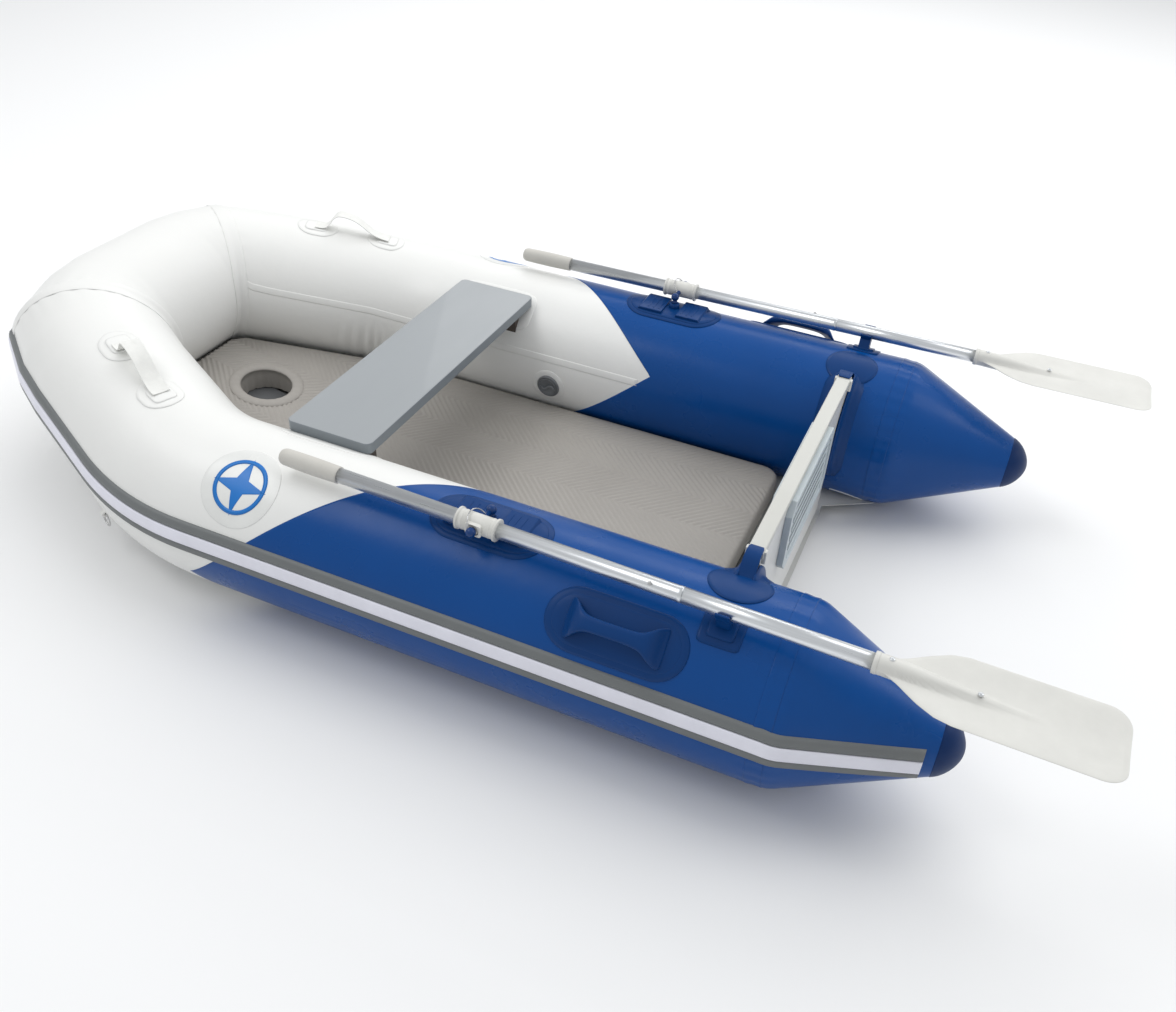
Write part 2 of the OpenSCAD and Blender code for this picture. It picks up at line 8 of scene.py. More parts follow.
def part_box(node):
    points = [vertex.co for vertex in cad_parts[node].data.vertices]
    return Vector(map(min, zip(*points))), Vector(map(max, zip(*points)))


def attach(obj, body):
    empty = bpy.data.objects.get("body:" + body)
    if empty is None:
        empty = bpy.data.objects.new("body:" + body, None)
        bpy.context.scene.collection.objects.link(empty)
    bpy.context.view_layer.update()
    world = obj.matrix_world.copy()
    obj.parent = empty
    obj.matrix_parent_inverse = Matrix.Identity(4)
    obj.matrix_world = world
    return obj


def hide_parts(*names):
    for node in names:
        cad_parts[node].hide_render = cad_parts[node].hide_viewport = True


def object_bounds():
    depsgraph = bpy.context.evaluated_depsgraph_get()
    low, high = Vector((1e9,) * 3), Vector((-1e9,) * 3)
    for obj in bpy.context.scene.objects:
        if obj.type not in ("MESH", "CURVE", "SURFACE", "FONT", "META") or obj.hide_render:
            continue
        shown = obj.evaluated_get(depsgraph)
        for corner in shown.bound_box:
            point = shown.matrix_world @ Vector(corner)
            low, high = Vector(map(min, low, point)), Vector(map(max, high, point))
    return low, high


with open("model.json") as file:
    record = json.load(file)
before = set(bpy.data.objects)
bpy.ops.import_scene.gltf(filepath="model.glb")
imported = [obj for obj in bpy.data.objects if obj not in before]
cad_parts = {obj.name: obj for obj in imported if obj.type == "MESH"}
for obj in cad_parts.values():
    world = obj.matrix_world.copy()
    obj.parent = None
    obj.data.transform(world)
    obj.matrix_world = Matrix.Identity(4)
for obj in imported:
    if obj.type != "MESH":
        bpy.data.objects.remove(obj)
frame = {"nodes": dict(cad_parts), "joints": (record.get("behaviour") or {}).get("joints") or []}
cadLow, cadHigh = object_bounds()
scene = bpy.context.scene
print("frame loaded:", len(frame["nodes"]), "nodes")

# camera
view = {"place": (0.91818, -1.90296, 1.64858), "heading": 1.953641, "dip": 0.658992, "roll": -0.060448,
        "lens": 33.277, "sensor": 36}


def makeCamera():
    cam = bpy.data.cameras.new("viewCamera")
    cam.lens = view["lens"]
    cam.sensor_width = view["sensor"]
    obj = bpy.data.objects.new("viewCamera", cam)
    scene.collection.objects.link(obj)
    a, e, r = view["heading"], view["dip"], view["roll"]
    ahead = Vector((math.cos(e) * math.cos(a), math.cos(e) * math.sin(a), -math.sin(e)))
    right = Vector((math.sin(a), -math.cos(a), 0))
    down = ahead.cross(right)
    side = right * math.cos(r) + down * math.sin(r)
    up = right * math.sin(r) - down * math.cos(r)
    turn = Matrix((side, up, -ahead)).transposed().to_4x4()
    obj.matrix_world = Matrix.Translation(view["place"]) @ turn
    scene.camera = obj


makeCamera()


# ---- finishes

def newFinish(name, colour, rough, metal=0.0, coat=0.0, spec=0.5):
    mat = bpy.data.materials.new(name)
    mat.use_nodes = True
    tree = mat.node_tree
    shader = tree.nodes["Principled BSDF"]
    shader.inputs["Base Color"].default_value = (*colour, 1)
    shader.inputs["Roughness"].default_value = rough
    shader.inputs["Metallic"].default_value = metal
    shader.inputs["Coat Weight"].default_value = coat
    shader.inputs["Specular IOR Level"].default_value = spec
    return mat, tree, shader


def addNode(tree, kind, **inputs):
    n = tree.nodes.new(kind)
    for k, v in inputs.items():
        n.inputs[k].default_value = v
    return n


def placed(tree, stretch=(1, 1, 1)):
    # object coordinates, stretched to draw grain one way
    coords = tree.nodes.new("ShaderNodeTexCoord")
    mapping = addNode(tree, "ShaderNodeMapping", Scale=stretch)
    tree.links.new(coords.outputs["Object"], mapping.inputs["Vector"])
    return mapping.outputs["Vector"]


def mottle(tree, shader, where, colour, scale, amount):
    # slow drift of the base colour
    n = addNode(tree, "ShaderNodeTexNoise", Scale=scale, Detail=5.0, Roughness=0.6)
    ramp = tree.nodes.new("ShaderNodeValToRGB")
    for stop, k in zip(ramp.color_ramp.elements, (1 - amount, 1 + amount * 0.6)):
        stop.color = (*(min(c * k, 1) for c in colour), 1)
    ramp.color_ramp.elements[0].position = 0.3
    ramp.color_ramp.elements[1].position = 0.7
    tree.links.new(where, n.inputs["Vector"])
    tree.links.new(n.outputs["Fac"], ramp.inputs["Fac"])
    tree.links.new(ramp.outputs["Color"], shader.inputs["Base Color"])


def roughDrift(tree, shader, where, rough, scale, amount):
    n = addNode(tree, "ShaderNodeTexNoise", Scale=scale, Detail=4.0)
    span = tree.nodes.new("ShaderNodeMapRange")
    span.inputs["From Min"].default_value = 0.3
    span.inputs["From Max"].default_value = 0.7
    span.inputs["To Min"].default_value = rough - amount
    span.inputs["To Max"].default_value = rough + amount
    tree.links.new(where, n.inputs["Vector"])
    tree.links.new(n.outputs["Fac"], span.inputs["Value"])
    tree.links.new(span.outputs["Result"], shader.inputs["Roughness"])


def addBump(tree, shader, height, strength, distance):
    b = addNode(tree, "ShaderNodeBump", Strength=strength, Distance=distance)
    tree.links.new(height, b.inputs["Height"])
    before = shader.inputs["Normal"].links
    if before:
        tree.links.new(before[0].from_socket, b.inputs["Normal"])
    tree.links.new(b.outputs["Normal"], shader.inputs["Normal"])


def grain(tree, shader, where, scale, strength, distance, detail=3.0):
    n = addNode(tree, "ShaderNodeTexNoise", Scale=scale, Detail=detail)
    tree.links.new(where, n.inputs["Vector"])
    addBump(tree, shader, n.outputs["Fac"], strength, distance)


def drifting(name, colour, rough, tint, gloss=None, stretch=(1, 1, 1), **values):
    # tint and gloss are each a scale and an amount
    mat, tree, shader = newFinish(name, colour, rough, **values)
    where = placed(tree, stretch)
    mottle(tree, shader, where, colour, *tint)
    if gloss:
        roughDrift(tree, shader, where, rough, *gloss)
    return mat, tree, shader, where


def coatedCloth(name, colour, rough=0.38, drift=0.03, spec=0.4):
    # PVC coated cloth: scrim telegraphing faintly through a soft gloss
    mat, tree, shader, where = drifting(name, colour, rough, (3.2, drift), (9, 0.05), spec=spec)
    weave = []
    for axis in ("X", "Z"):
        w = addNode(tree, "ShaderNodeTexWave", Scale=260.0)
        w.bands_direction = axis
        tree.links.new(where, w.inputs["Vector"])
        weave.append(w)
    both = tree.nodes.new("ShaderNodeMath")
    both.operation = "MULTIPLY"
    tree.links.new(weave[0].outputs["Fac"], both.inputs[0])
    tree.links.new(weave[1].outputs["Fac"], both.inputs[1])
    addBump(tree, shader, both.outputs[0], 0.05, 0.0004)
    grain(tree, shader, where, 34, 0.10, 0.004)
    grain(tree, shader, where, 900, 0.12, 0.0003)
    return mat


def moulded(name, colour, rough=0.42, scale=700, depth=0.16, coat=0.0, spec=0.4):
    # moulded rubber or plastic with a fine spark-eroded grain
    mat, tree, shader, where = drifting(name, colour, rough, (14, 0.05), (22, 0.06), coat=coat,
                                        spec=spec)
    grain(tree, shader, where, scale, depth, 0.0004)
    return mat


def drawnMetal(name, colour, rough=0.22, along=(1.5, 260, 260)):
    # drawn tube: fine streaks along its length
    mat, tree, shader, where = drifting(name, colour, rough, (1.0, 0.10), (1.4, 0.07), along, metal=1.0)
    grain(tree, shader, where, 2.0, 0.10, 0.0003)
    return mat


def wovenTape(name, colour):
    mat, tree, shader, where = drifting(name, colour, 0.72, (60, 0.05))
    shader.inputs["Sheen Weight"].default_value = 0.25
    for axis, scale in (("X", 150.0), ("DIAGONAL", 210.0)):
        w = addNode(tree, "ShaderNodeTexWave", Scale=scale, Distortion=0.4)
        w.bands_direction = axis
        tree.links.new(where, w.inputs["Vector"])
        addBump(tree, shader, w.outputs["Fac"], 0.35, 0.0005)
    return mat


def paintedBoard(name, colour, rough=0.36):
    mat, tree, shader, where = drifting(name, colour, rough, (5, 0.03), (18, 0.05), (1, 0.25, 1),
                                        coat=0.15)
    grain(tree, shader, where, 130, 0.06, 0.0008)
    grain(tree, shader, placed(tree), 1100, 0.18, 0.0002)
    return mat


def deckCloth(name, colour):
    # embossed air-deck cloth: fine cross grain over the pressed ridges
    mat, tree, shader, where = drifting(name, colour, 0.55, (4, 0.06))
    for scale, strength in ((95.0, 0.30), (240.0, 0.20)):
        w = addNode(tree, "ShaderNodeTexVoronoi", Scale=scale)
        tree.links.new(where, w.inputs["Vector"])
        addBump(tree, shader, w.outputs["Distance"], strength, 0.0006)
    return mat


# colour, roughness and the maker's own values of each finish
looks = {
    "whiteCloth": (coatedCloth, (0.80, 0.80, 0.78), 0.36, 0.02),
    "blueCloth": (coatedCloth, (0.0004, 0.060, 0.255), 0.30, 0.06, 0.24),
    "bottomCloth": (coatedCloth, (0.60, 0.60, 0.58), 0.5, 0.06),
    "blueMoulding": (moulded, (0.001, 0.038, 0.160), 0.38, 500, 0.14, 0.0, 0.2),
    "bluePlastic": (moulded, (0.003, 0.036, 0.155), 0.25, 900, 0.06, 0.2, 0.3),
    "capRubber": (moulded, (0.001, 0.022, 0.100), 0.42, 600, 0.12, 0.0, 0.2),
    "strakeGrey": (moulded, (0.160, 0.170, 0.172), 0.50, 420, 0.22),
    "stripeWhite": (moulded, (0.78, 0.78, 0.86), 0.42, 1200, 0.30),
    "deck": (deckCloth, (0.345, 0.325, 0.300)),
    "keelCloth": (coatedCloth, (0.12, 0.125, 0.13), 0.55, 0.05),
    "seatPaint": (paintedBoard, (0.315, 0.335, 0.350)),
    # darker copy of the seat paint for the board's standing faces: painted shade
    "seatEdge": (paintedBoard, (0.20, 0.225, 0.245), 0.5),
    # near-black rubber of the seat brackets: partly the rubber's own colour, partly painted shade under
    # the seat's end
    "darkRubber": (moulded, (0.085, 0.07, 0.062), 0.7, 260, 0.5),
    "boardPaint": (paintedBoard, (0.66, 0.66, 0.64)),
    "ivory": (moulded, (0.655, 0.65, 0.615), 0.36, 520, 0.12),
    "ivoryGrip": (moulded, (0.56, 0.545, 0.505), 0.62, 340, 0.5),
    "plateGrey": (moulded, (0.50, 0.555, 0.58), 0.40, 480, 0.2),
    "wire": (drawnMetal, (0.60, 0.60, 0.60), 0.25, (90, 90, 90)),
    "alloy": (drawnMetal, (0.80, 0.82, 0.84), 0.33),
    "webbing": (wovenTape, (0.80, 0.80, 0.77)),
    "valveGrey": (moulded, (0.17, 0.18, 0.19), 0.42, 500, 0.25),
    "markBlue": (moulded, (0.006, 0.16, 0.52), 0.35, 900, 0.05),
    "clearFilm": (moulded, (0.76, 0.765, 0.745), 0.22, 900, 0.04),
    "topStrip": (paintedBoard, (0.56, 0.56, 0.525), 0.42),
}
finishes = {name: maker(name, *values) for name, (maker, *values) in looks.items()}
# the material slot set against each finish, looked up for each piece but given to none
slots = {
    "whiteCloth": "white_pvc", "blueCloth": "blue_pvc", "blueMoulding": "blue_moulding",
    "bluePlastic": "blue_plastic", "capRubber": "blue_moulding", "strakeGrey": "strake_grey",
    "stripeWhite": "stripe_white", "deck": "floor_fabric", "seatPaint": "seat_paint",
    "ivory": "ivory_plastic", "ivoryGrip": "ivory_plastic", "plateGrey": "plate_grey",
    "wire": "wire", "alloy": "alloy", "webbing": "webbing", "valveGrey": "valve_grey",
    "markBlue": "blue_plastic", "clearFilm": "white_pvc", "topStrip": "ivory_plastic",
}
print("finishes:", len(finishes))


# ---- mesh helpers

def addPiece(name, verts, faces, finish, body="hull", replaced=(), smooth=True, slot=None):
    mesh = bpy.data.meshes.new(name)
    mesh.from_pydata([tuple(v) for v in verts], [], faces)
    mesh.validate()
    obj = bpy.data.objects.new(name, mesh)
    scene.collection.objects.link(obj)
    mesh.materials.append(finishes[finish])
    if smooth:
        mesh.polygons.foreach_set("use_smooth", [True] * len(mesh.polygons))
    slot or slots[finish]
    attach(obj, body)
    if replaced:
        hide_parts(*replaced)
    return obj


def tidyNormals(obj):
    bm = bmesh.new()
    bm.from_mesh(obj.data)
    bmesh.ops.remove_doubles(bm, verts=bm.verts, dist=1e-6)
    bmesh.ops.recalc_face_normals(bm, faces=bm.faces)
    bm.to_mesh(obj.data)
    bm.free()
    return obj


def gridFaces(rows, columns, loop=False, first=0):
    faces = []
    for r in range(rows - 1):
        for c in range(columns if loop else columns - 1):
            d = (c + 1) % columns
            a = first + r * columns
            b = a + columns
            faces.append((a + c, a + d, b + d, b + c))
    return faces


def loft(name, loops, finish, body="hull", replaced=(), ends=True, smooth=True, slot=None):
    # closed cross-sections joined one to the next
    count = len(loops[0])
    verts = [p for ring in loops for p in ring]
    faces = gridFaces(len(loops), count, True)
    if ends:
        faces.append(tuple(range(count))[::-1])
        faces.append(tuple(range((len(loops) - 1) * count, len(loops) * count)))
    return tidyNormals(addPiece(name, verts, faces, finish, body, replaced, smooth, slot))


def soften(obj, width, segments=3, angle=30):
    bevel = obj.modifiers.new("edges", "BEVEL")
    bevel.width = width
    bevel.segments = segments
    bevel.limit_method = "ANGLE"
    bevel.angle_limit = math.radians(angle)
    bevel.harden_normals = False
    normals = obj.modifiers.new("faces", "WEIGHTED_NORMAL")
    normals.keep_sharp = True
    return obj


def rounded(obj, levels=2):
    obj.modifiers.new("round", "SUBSURF").levels = levels
    obj.modifiers["round"].render_levels = levels
    return obj


def applied(obj):
    # bakes the modifiers into the mesh
    dg = bpy.context.evaluated_depsgraph_get()
    mesh = bpy.data.meshes.new_from_object(obj.evaluated_get(dg))
    obj.modifiers.clear()
    obj.data = mesh
    return obj


def cutBy(obj, cutters):
    for c in cutters:
        m = obj.modifiers.new("cut", "BOOLEAN")
        m.operation = "DIFFERENCE"
        m.object = c
        m.solver = "EXACT"
    bpy.context.view_layer.update()
    applied(obj)
    for c in cutters:
        bpy.data.objects.remove(c)
    return obj


def tool(name, verts, faces):
    # a throwaway solid for cutting
    mesh = bpy.data.meshes.new(name)
    mesh.from_pydata([tuple(v) for v in verts], [], faces)
    obj = bpy.data.objects.new(name, mesh)
    scene.collection.objects.link(obj)
    return tidyNormals(obj)


def extruded(outline, low, high, place):
    # an outline in two axes raised along the third, each corner put in place by a function
    n = len(outline)
    verts = [place(x, y, low) for x, y in outline] + [place(x, y, high) for x, y in outline]
    faces = [tuple(range(n))[::-1], tuple(range(n, 2 * n))]
    faces += [(i, (i + 1) % n, (i + 1) % n + n, i + n) for i in range(n)]
    return verts, faces


def prism(name, outline, low, high, place, finish, body="hull", replaced=(), smooth=True):
    verts, faces = extruded(outline, low, high, place)
    return tidyNormals(addPiece(name, verts, faces, finish, body, replaced, smooth))


def cutOut(obj, outline, low, high, place):
    return cutBy(obj, [tool("cutter", *extruded(outline, low, high, place))])


def roundRect(length, width, radius, steps=6):
    pts = []
    for k, (sx, sy) in enumerate(((1, 1), (-1, 1), (-1, -1), (1, -1))):
        for i in range(steps + 1):
            a = math.radians(90 * (k + i / steps))
            pts.append((sx * (length / 2 - radius) + radius * math.cos(a),
                        sy * (width / 2 - radius) + radius * math.sin(a)))
    return pts


def barAlong(points, radius, name, finish, body="hull", replaced=(), sides=14, closed=False):
    # round bar swept along points
    pts = [Vector(p) for p in points]
    n = len(pts)
    loops = []
    normal = None
    for i, p in enumerate(pts):
        a = pts[(i - 1) % n] if closed or i else pts[0]
        b = pts[(i + 1) % n] if closed or i < n - 1 else pts[-1]
        d = (b - a).normalized()
        if normal is None:
            normal = d.orthogonal().normalized()
        normal = (normal - d * normal.dot(d)).normalized()
        other = d.cross(normal)
        r = radius(i / (n - 1)) if callable(radius) else radius
        loops.append([p + normal * (r * math.cos(t)) + other * (r * math.sin(t))
                      for t in (2 * math.pi * k / sides for k in range(sides))])
    if closed:
        loops.append(loops[0])
    return loft(name, loops, finish, body, replaced, ends=not closed)


def lathe(profile, place, name, finish, body="hull", replaced=(), sides=40, slot=None):
    # profile of (along, radius) turned about an axis; place maps along, across, up to a point
    loops = [[place(t, r * math.cos(a), r * math.sin(a)) for a in
              (2 * math.pi * k / sides for k in range(sides))] for t, r in profile]
    return loft(name, loops, finish, body, replaced, slot=slot)


# ---- the hull's line

hull = {"radius": 0.18, "axisY": 0.479, "bendBack": 0.695, "shoulderBack": 0.25, "shoulderHalf": 0.275,
        "noseBack": 0.1885, "noseHalf": 0.192, "rise": 0.101, "riseShare": 0.85, "bendRun": 0.12,
        "coneEnd": 0.041}

tubeR = hull["radius"]
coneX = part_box("stern_cone_starboard")[0].x
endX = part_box("cone_cap_starboard")[1].x
noseTop = tubeR + hull["rise"]
bendAt = Vector((cadLow.x + hull["bendBack"], hull["axisY"], tubeR))
shoulderAt = Vector((cadLow.x + hull["shoulderBack"], hull["shoulderHalf"],
                     tubeR + hull["rise"] * hull["riseShare"]))
noseAt = Vector((cadLow.x + hull["noseBack"], hull["noseHalf"], noseTop))
aft = Vector((1, 0, 0))
quarterWay = (bendAt - shoulderAt).normalized()
creaseAt = (noseAt + shoulderAt) / 2


def curveThrough(a, b, c, steps):
    # points and directions of a soft corner
    out = []
    for i in range(1, steps + 1):
        t = i / steps
        p = a * (1 - t) ** 2 + b * (2 * t * (1 - t)) + c * t * t
        out.append((p, ((b - a) * (1 - t) + (c - b) * t).normalized()))
    return out


def hullLine():
    # stations of the starboard half, from the nose's middle back to the cone
    sideways = Vector((0, 1, 0))
    start = Vector((noseAt.x, 0, noseTop))
    first = Vector((noseAt.x, 0.12, noseTop))
    cornerA = Vector((noseAt.x, 0.16, noseTop))
    cornerB = shoulderAt + quarterWay * 0.045
    leave = shoulderAt + quarterWay * 0.12
    run = hull["bendRun"]
    line = [(start, sideways, sideways), (first, sideways, sideways)]
    line += [(p, d, d) for p, d in curveThrough(first, cornerA, creaseAt, 2)[:-1]]
    line.append((creaseAt, (creaseAt - cornerA).normalized(), (cornerB - creaseAt).normalized()))
    line += [(p, d, d) for p, d in curveThrough(creaseAt, cornerB, leave, 2)]
    line += [(bendAt - quarterWay * run, quarterWay, quarterWay)]
    line += [(p, d, d) for p, d in curveThrough(bendAt - quarterWay * run, bendAt,
                                                bendAt + aft * run, 10)]
    line.append((Vector((coneX, hull["axisY"], tubeR)), aft, aft))
    return line


stations = hullLine()
stationAt = [0.0]
for one, two in zip(stations, stations[1:]):
    stationAt.append(stationAt[-1] + (two[0] - one[0]).length)
creaseIndex = next(i for i, (p, a, b) in enumerate(stations) if (a - b).length > 1e-6)
creaseS = stationAt[creaseIndex]
coneS = stationAt[-1]
bendS = stationAt[-7]


def sOfX(x):
    # length along the hull's line at a place along the boat
    if x >= coneX:
        return coneS + x - coneX
    for i in range(creaseIndex, len(stations) - 1):
        a, b = stations[i][0].x, stations[i + 1][0].x
        if a <= x <= b:
            return stationAt[i] + (stationAt[i + 1] - stationAt[i]) * (x - a) / (b - a)
    return creaseS


def ringPoint(i, angle, r):
    p, before, after = stations[i]
    out = Vector((-before.y, before.x, 0)).normalized()
    up = before.cross(out)
    v = out * math.cos(angle) + up * math.sin(angle)
    mitre = before + after
    slide = -r * v.dot(mitre) / before.dot(mitre)
    return p + v * r + before * slide


def coneRadius(u):
    # the cone's radius, eased where it leaves the tube
    rate = (tubeR - hull["coneEnd"]) / (endX - coneX - 0.004)
    ease = 0.035
    if u < ease:
        return tubeR - rate * u * u / (2 * ease)
    return tubeR - rate * (u - ease / 2) - rate * ease / 2 * (u - ease) / (endX - coneX - ease)


def onTube(s, angle, h=0.0):
    # point on the hull at a length along its line and an angle above the outer equator
    t = abs(s)
    if t > coneS:
        u = t - coneS
        r = coneRadius(u) + h
        p = Vector((coneX + u, hull["axisY"] + r * math.cos(angle), tubeR + r * math.sin(angle)))
    else:
        i = 0
        while i < len(stations) - 2 and stationAt[i + 1] < t:
            i += 1
        k = (t - stationAt[i]) / (stationAt[i + 1] - stationAt[i])
        p = ringPoint(i, angle, tubeR + h).lerp(ringPoint(i + 1, angle, tubeR + h), k)
    if s < 0:
        p.y = -p.y
    return p


bothSides = (("port", -1), ("starboard", 1))


def pair(stem):
    return [stem + "_port", stem + "_starboard"]


slack = {"drift": 0.0004, "coneReach": 0.09, "coneFold": 0.0006, "coneSeam": 0.0022,
         "creaseReach": 0.12, "creaseFold": 0.0008, "puckerAngle": 198, "puckerBack": 0.125,
         "puckerReach": 0.2, "puckerPitch": 0.033, "pucker": 0.0042}


def slackOf(s, angle):
    # how far the cloth stands off the true tube, by its seams and folds
    deg = math.degrees(angle) % 360
    t = abs(s)
    h = slack["drift"] * noise.noise(Vector((s * 5, math.cos(angle) * 1.5, math.sin(angle) * 1.5)))
    away = abs(t - coneS)
    if away < slack["coneReach"]:
        fold = math.sin(deg * 0.62 + 2.2 * noise.noise(Vector((deg * 0.05, s, 3))))
        h += slack["coneFold"] * fold * math.exp(-(away / 0.034) ** 2)
        h -= slack["coneSeam"] * math.exp(-(away / 0.012) ** 2)
    away = abs(t - creaseS)
    if away < slack["creaseReach"]:
        fold = math.sin(deg * 0.5 + 3 * noise.noise(Vector((deg * 0.04, s, 7))))
        h += slack["creaseFold"] * fold * math.exp(-(away / 0.04) ** 2)
    # puckers on the inner wall just above the deck, ahead of the bend
    low = math.exp(-((deg - slack["puckerAngle"]) / 17) ** 2)
    away = abs(t - (bendS - slack["puckerBack"]))
    if away < slack["puckerReach"] and low > 0.01:
        waver = 1.2 * noise.noise(Vector((t * 18, deg * 0.02, 1)))
        fold = math.sin(2 * math.pi * t / slack["puckerPitch"] + waver)
        h += slack["pucker"] * fold * low * math.exp(-(away / 0.075) ** 2)
    return h


chevron = {"tip": 0.1702, "tipAngle": 155, "rate": 0.0036, "lap": 0.0007}


def chevronS(angle):
    # where the blue cloth laps over the white
    deg = (math.degrees(angle) - chevron["tipAngle"] + 180) % 360 - 180
    return sOfX(chevron["tip"] - chevron["rate"] * abs(deg))


around = 160
angles = [2 * math.pi * k / around for k in range(around)]


def spread(a, b, step):
    n = max(2, round(abs(b - a) / step) + 1)
    return [a + (b - a) * i / (n - 1) for i in range(n)]


# distances between rows of the white cloth, and counts of rows of the other cloths
cloth = {"step": 0.009, "chevronRows": 90, "sideRows": 150, "coneRows": 40, "meet": 0.12,
         "tuck": 0.0006}
# rubber boots on the cone ends: cloth length under them, wall, rounded length
coneCap = {"under": 0.006, "wall": 0.0016, "round": 0.042, "steps": 24}


def sidedFaces(rows, sign):
    # rings of faces whose fronts look outward on either side
    faces = gridFaces(rows, around, True)
    return faces if sign > 0 else [f[::-1] for f in faces]


def tubePieces():
    meet = bendS - cloth["meet"]
    # white cloth from one chevron to the other
    flat = sorted(set(round(v, 5) for v in spread(-meet, meet, cloth["step"]) + [creaseS, -creaseS]))
    steps = cloth["chevronRows"]
    rows = []
    for i in range(steps, 0, -1):
        rows.append([-(meet + (chevronS(a) - meet) * i / steps) for a in angles])
    rows += [[s] * around for s in flat[1:-1]]
    for i in range(0, steps + 1):
        rows.append([meet + (chevronS(a) - meet) * i / steps for a in angles])
    verts = [onTube(s, a, slackOf(s, a)) for row in rows for s, a in zip(row, angles)]
    addPiece("hullWhiteCloth", verts, gridFaces(len(rows), around, True), "whiteCloth",
             replaced=["bow_tube", *pair("bow_shoulder"), *pair("quarter_tube"),
                       *pair("side_tube_fore")])
    for name, sign in bothSides:
        steps = cloth["sideRows"]
        verts = []
        for i in range(-1, steps + 1):
            k = max(i, 0) / steps
            for a in angles:
                start = chevronS(a)
                s = start + (coneS - start) * k
                lift = chevron["lap"] if i >= 0 else -cloth["tuck"]
                verts.append(onTube(sign * s, a, slackOf(sign * s, a) + lift))
        faces = sidedFaces(steps + 2, sign)
        addPiece("sideBlueCloth_" + name, verts, faces, "blueCloth",
                 replaced=["side_tube_aft_" + name])
        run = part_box("cone_cap_" + name)[0].x - coneX + coneCap["under"]
        places = [coneS + run * i / cloth["coneRows"] for i in range(cloth["coneRows"] + 1)]
        verts = [onTube(sign * s, a, slackOf(s, a) + chevron["lap"]) for s in places for a in angles]
        faces = sidedFaces(len(places), sign)
        addPiece("coneCloth_" + name, verts, faces, "blueCloth",
                 replaced=["stern_cone_" + name])
    print("tubes laid")


tubePieces()


# ---- strips and patches laid on the tubes

def angleFor(s, w, h=0.0):
    # a height up the strake's band turned into an angle; the band sinks along the cone
    t = abs(s)
    if t <= coneS:
        return math.asin(w / (tubeR + h))
    u = t - coneS
    run = endX - coneX - 0.06
    middle = 0.0335 * (1 - 0.9 * u / run)
    return math.asin(max(-0.99, min(0.99, (middle + w - 0.0335) / (coneRadius(u) + h))))


def strip(name, places, profile, finish, replaced=()):
    # profile of (height up the band, thickness) run along the whole strake
    loops = [[onTube(s, angleFor(s, w, h), h) for w, h in profile] for s in places]
    return loft(name, loops, finish, replaced=replaced)


strake = {"end": 0.064, "step": 0.012, "grey": [(0, -0.001), (0, 0.001), (0.001, 0.0045),
                                                (0.004, 0.0066), (0.007, 0.0062), (0.0085, 0.0070),
                                                (0.0170, 0.0070), (0.0185, 0.0060),
                                                (0.0190, 0.0045), (0.0480, 0.0045),
                                                (0.0485, 0.0060), (0.0500, 0.0070),
                                                (0.0585, 0.0070), (0.060, 0.0062), (0.063, 0.0066),
                                                (0.066, 0.0045), (0.067, 0.001), (0.067, -0.001)],
          "stripe": [(0.0197, 0.004), (0.0197, 0.0074), (0.0207, 0.0083), (0.026, 0.0085),
                     (0.041, 0.0085), (0.0463, 0.0083), (0.0473, 0.0074), (0.0473, 0.004)]}


def strakePieces():
    last = coneS + (endX - coneX) - strake["end"]
    places = spread(-last, last, strake["step"])
    places = sorted(set(round(v, 5) for v in places + [creaseS, -creaseS]))
    strip("strakeMoulding", places, strake["grey"], "strakeGrey", ["rubbing_strake"])
    strip("strakeStripe", places, strake["stripe"], "stripeWhite", ["strake_stripe"])
    print("strake laid")


strakePieces()


def walkFrom(i, angle, distance, h):
    # from a station's ring, a measured distance along the cloth
    step = 1 if distance >= 0 else -1
    left = abs(distance)
    here = ringPoint(i, angle, tubeR + h)
    while left > 1e-9 and 0 <= i + step < len(stations):
        there = ringPoint(i + step, angle, tubeR + h)
        gap = (there - here).length
        if gap >= left:
            return here.lerp(there, left / gap)
        left -= gap
        here = there
        i += step
    return here


seamTape = {"half": 0.021, "thick": 0.0011}


def tapeProfile(half, thick):
    return [(-half, -0.0004), (-half, thick * 0.6), (-half + 0.0015, thick), (-half * 0.4, thick),
            (0, thick), (half * 0.4, thick), (half - 0.0015, thick), (half, thick * 0.6),
            (half, -0.0004)]


def seamTapes():
    for name, sign in bothSides:
        profile = tapeProfile(seamTape["half"], seamTape["thick"])
        verts = []
        for d, h in profile:
            for a in angles:
                p = walkFrom(creaseIndex, a, d, h + 0.0003)
                verts.append((p.x, p.y * sign, p.z))
        tidyNormals(addPiece("shoulderTape_" + name, verts, gridFaces(len(profile), around, True),
                             "whiteCloth"))
        verts = []
        for d, h in tapeProfile(0.016, 0.0010):
            s = coneS - 0.004 + d
            verts += [onTube(sign * s, a, h + 0.0007 + slackOf(s, a)) for a in angles]
        tidyNormals(addPiece("coneTape_" + name, verts, gridFaces(len(profile), around, True),
                             "blueCloth"))
        # lengthwise lap seams: one inside above the deck, one outside below the strake
        for part, angle, start, end, finish in (
                ("innerLapFore", 163, creaseS + 0.03, sOfX(chevron["tip"] - 0.03), "whiteCloth"),
                ("outerLap", -19, sOfX(-0.44), coneS - 0.02, "blueCloth")):
            places = spread(start, end, 0.012)
            loops = []
            for s in places:
                row = []
                for d, h in ((-0.009, -0.001), (-0.009, 0), (-0.007, 0.0004), (0.007, 0.0004),
                             (0.009, 0), (0.009, -0.001)):
                    a = math.radians(angle) + d / tubeR
                    row.append(onTube(sign * s, a, h + 0.0003 + slackOf(s, a)))
                loops.append(row)
            loft(part + "_" + name, loops, finish)
    print("tapes laid")


seamTapes()


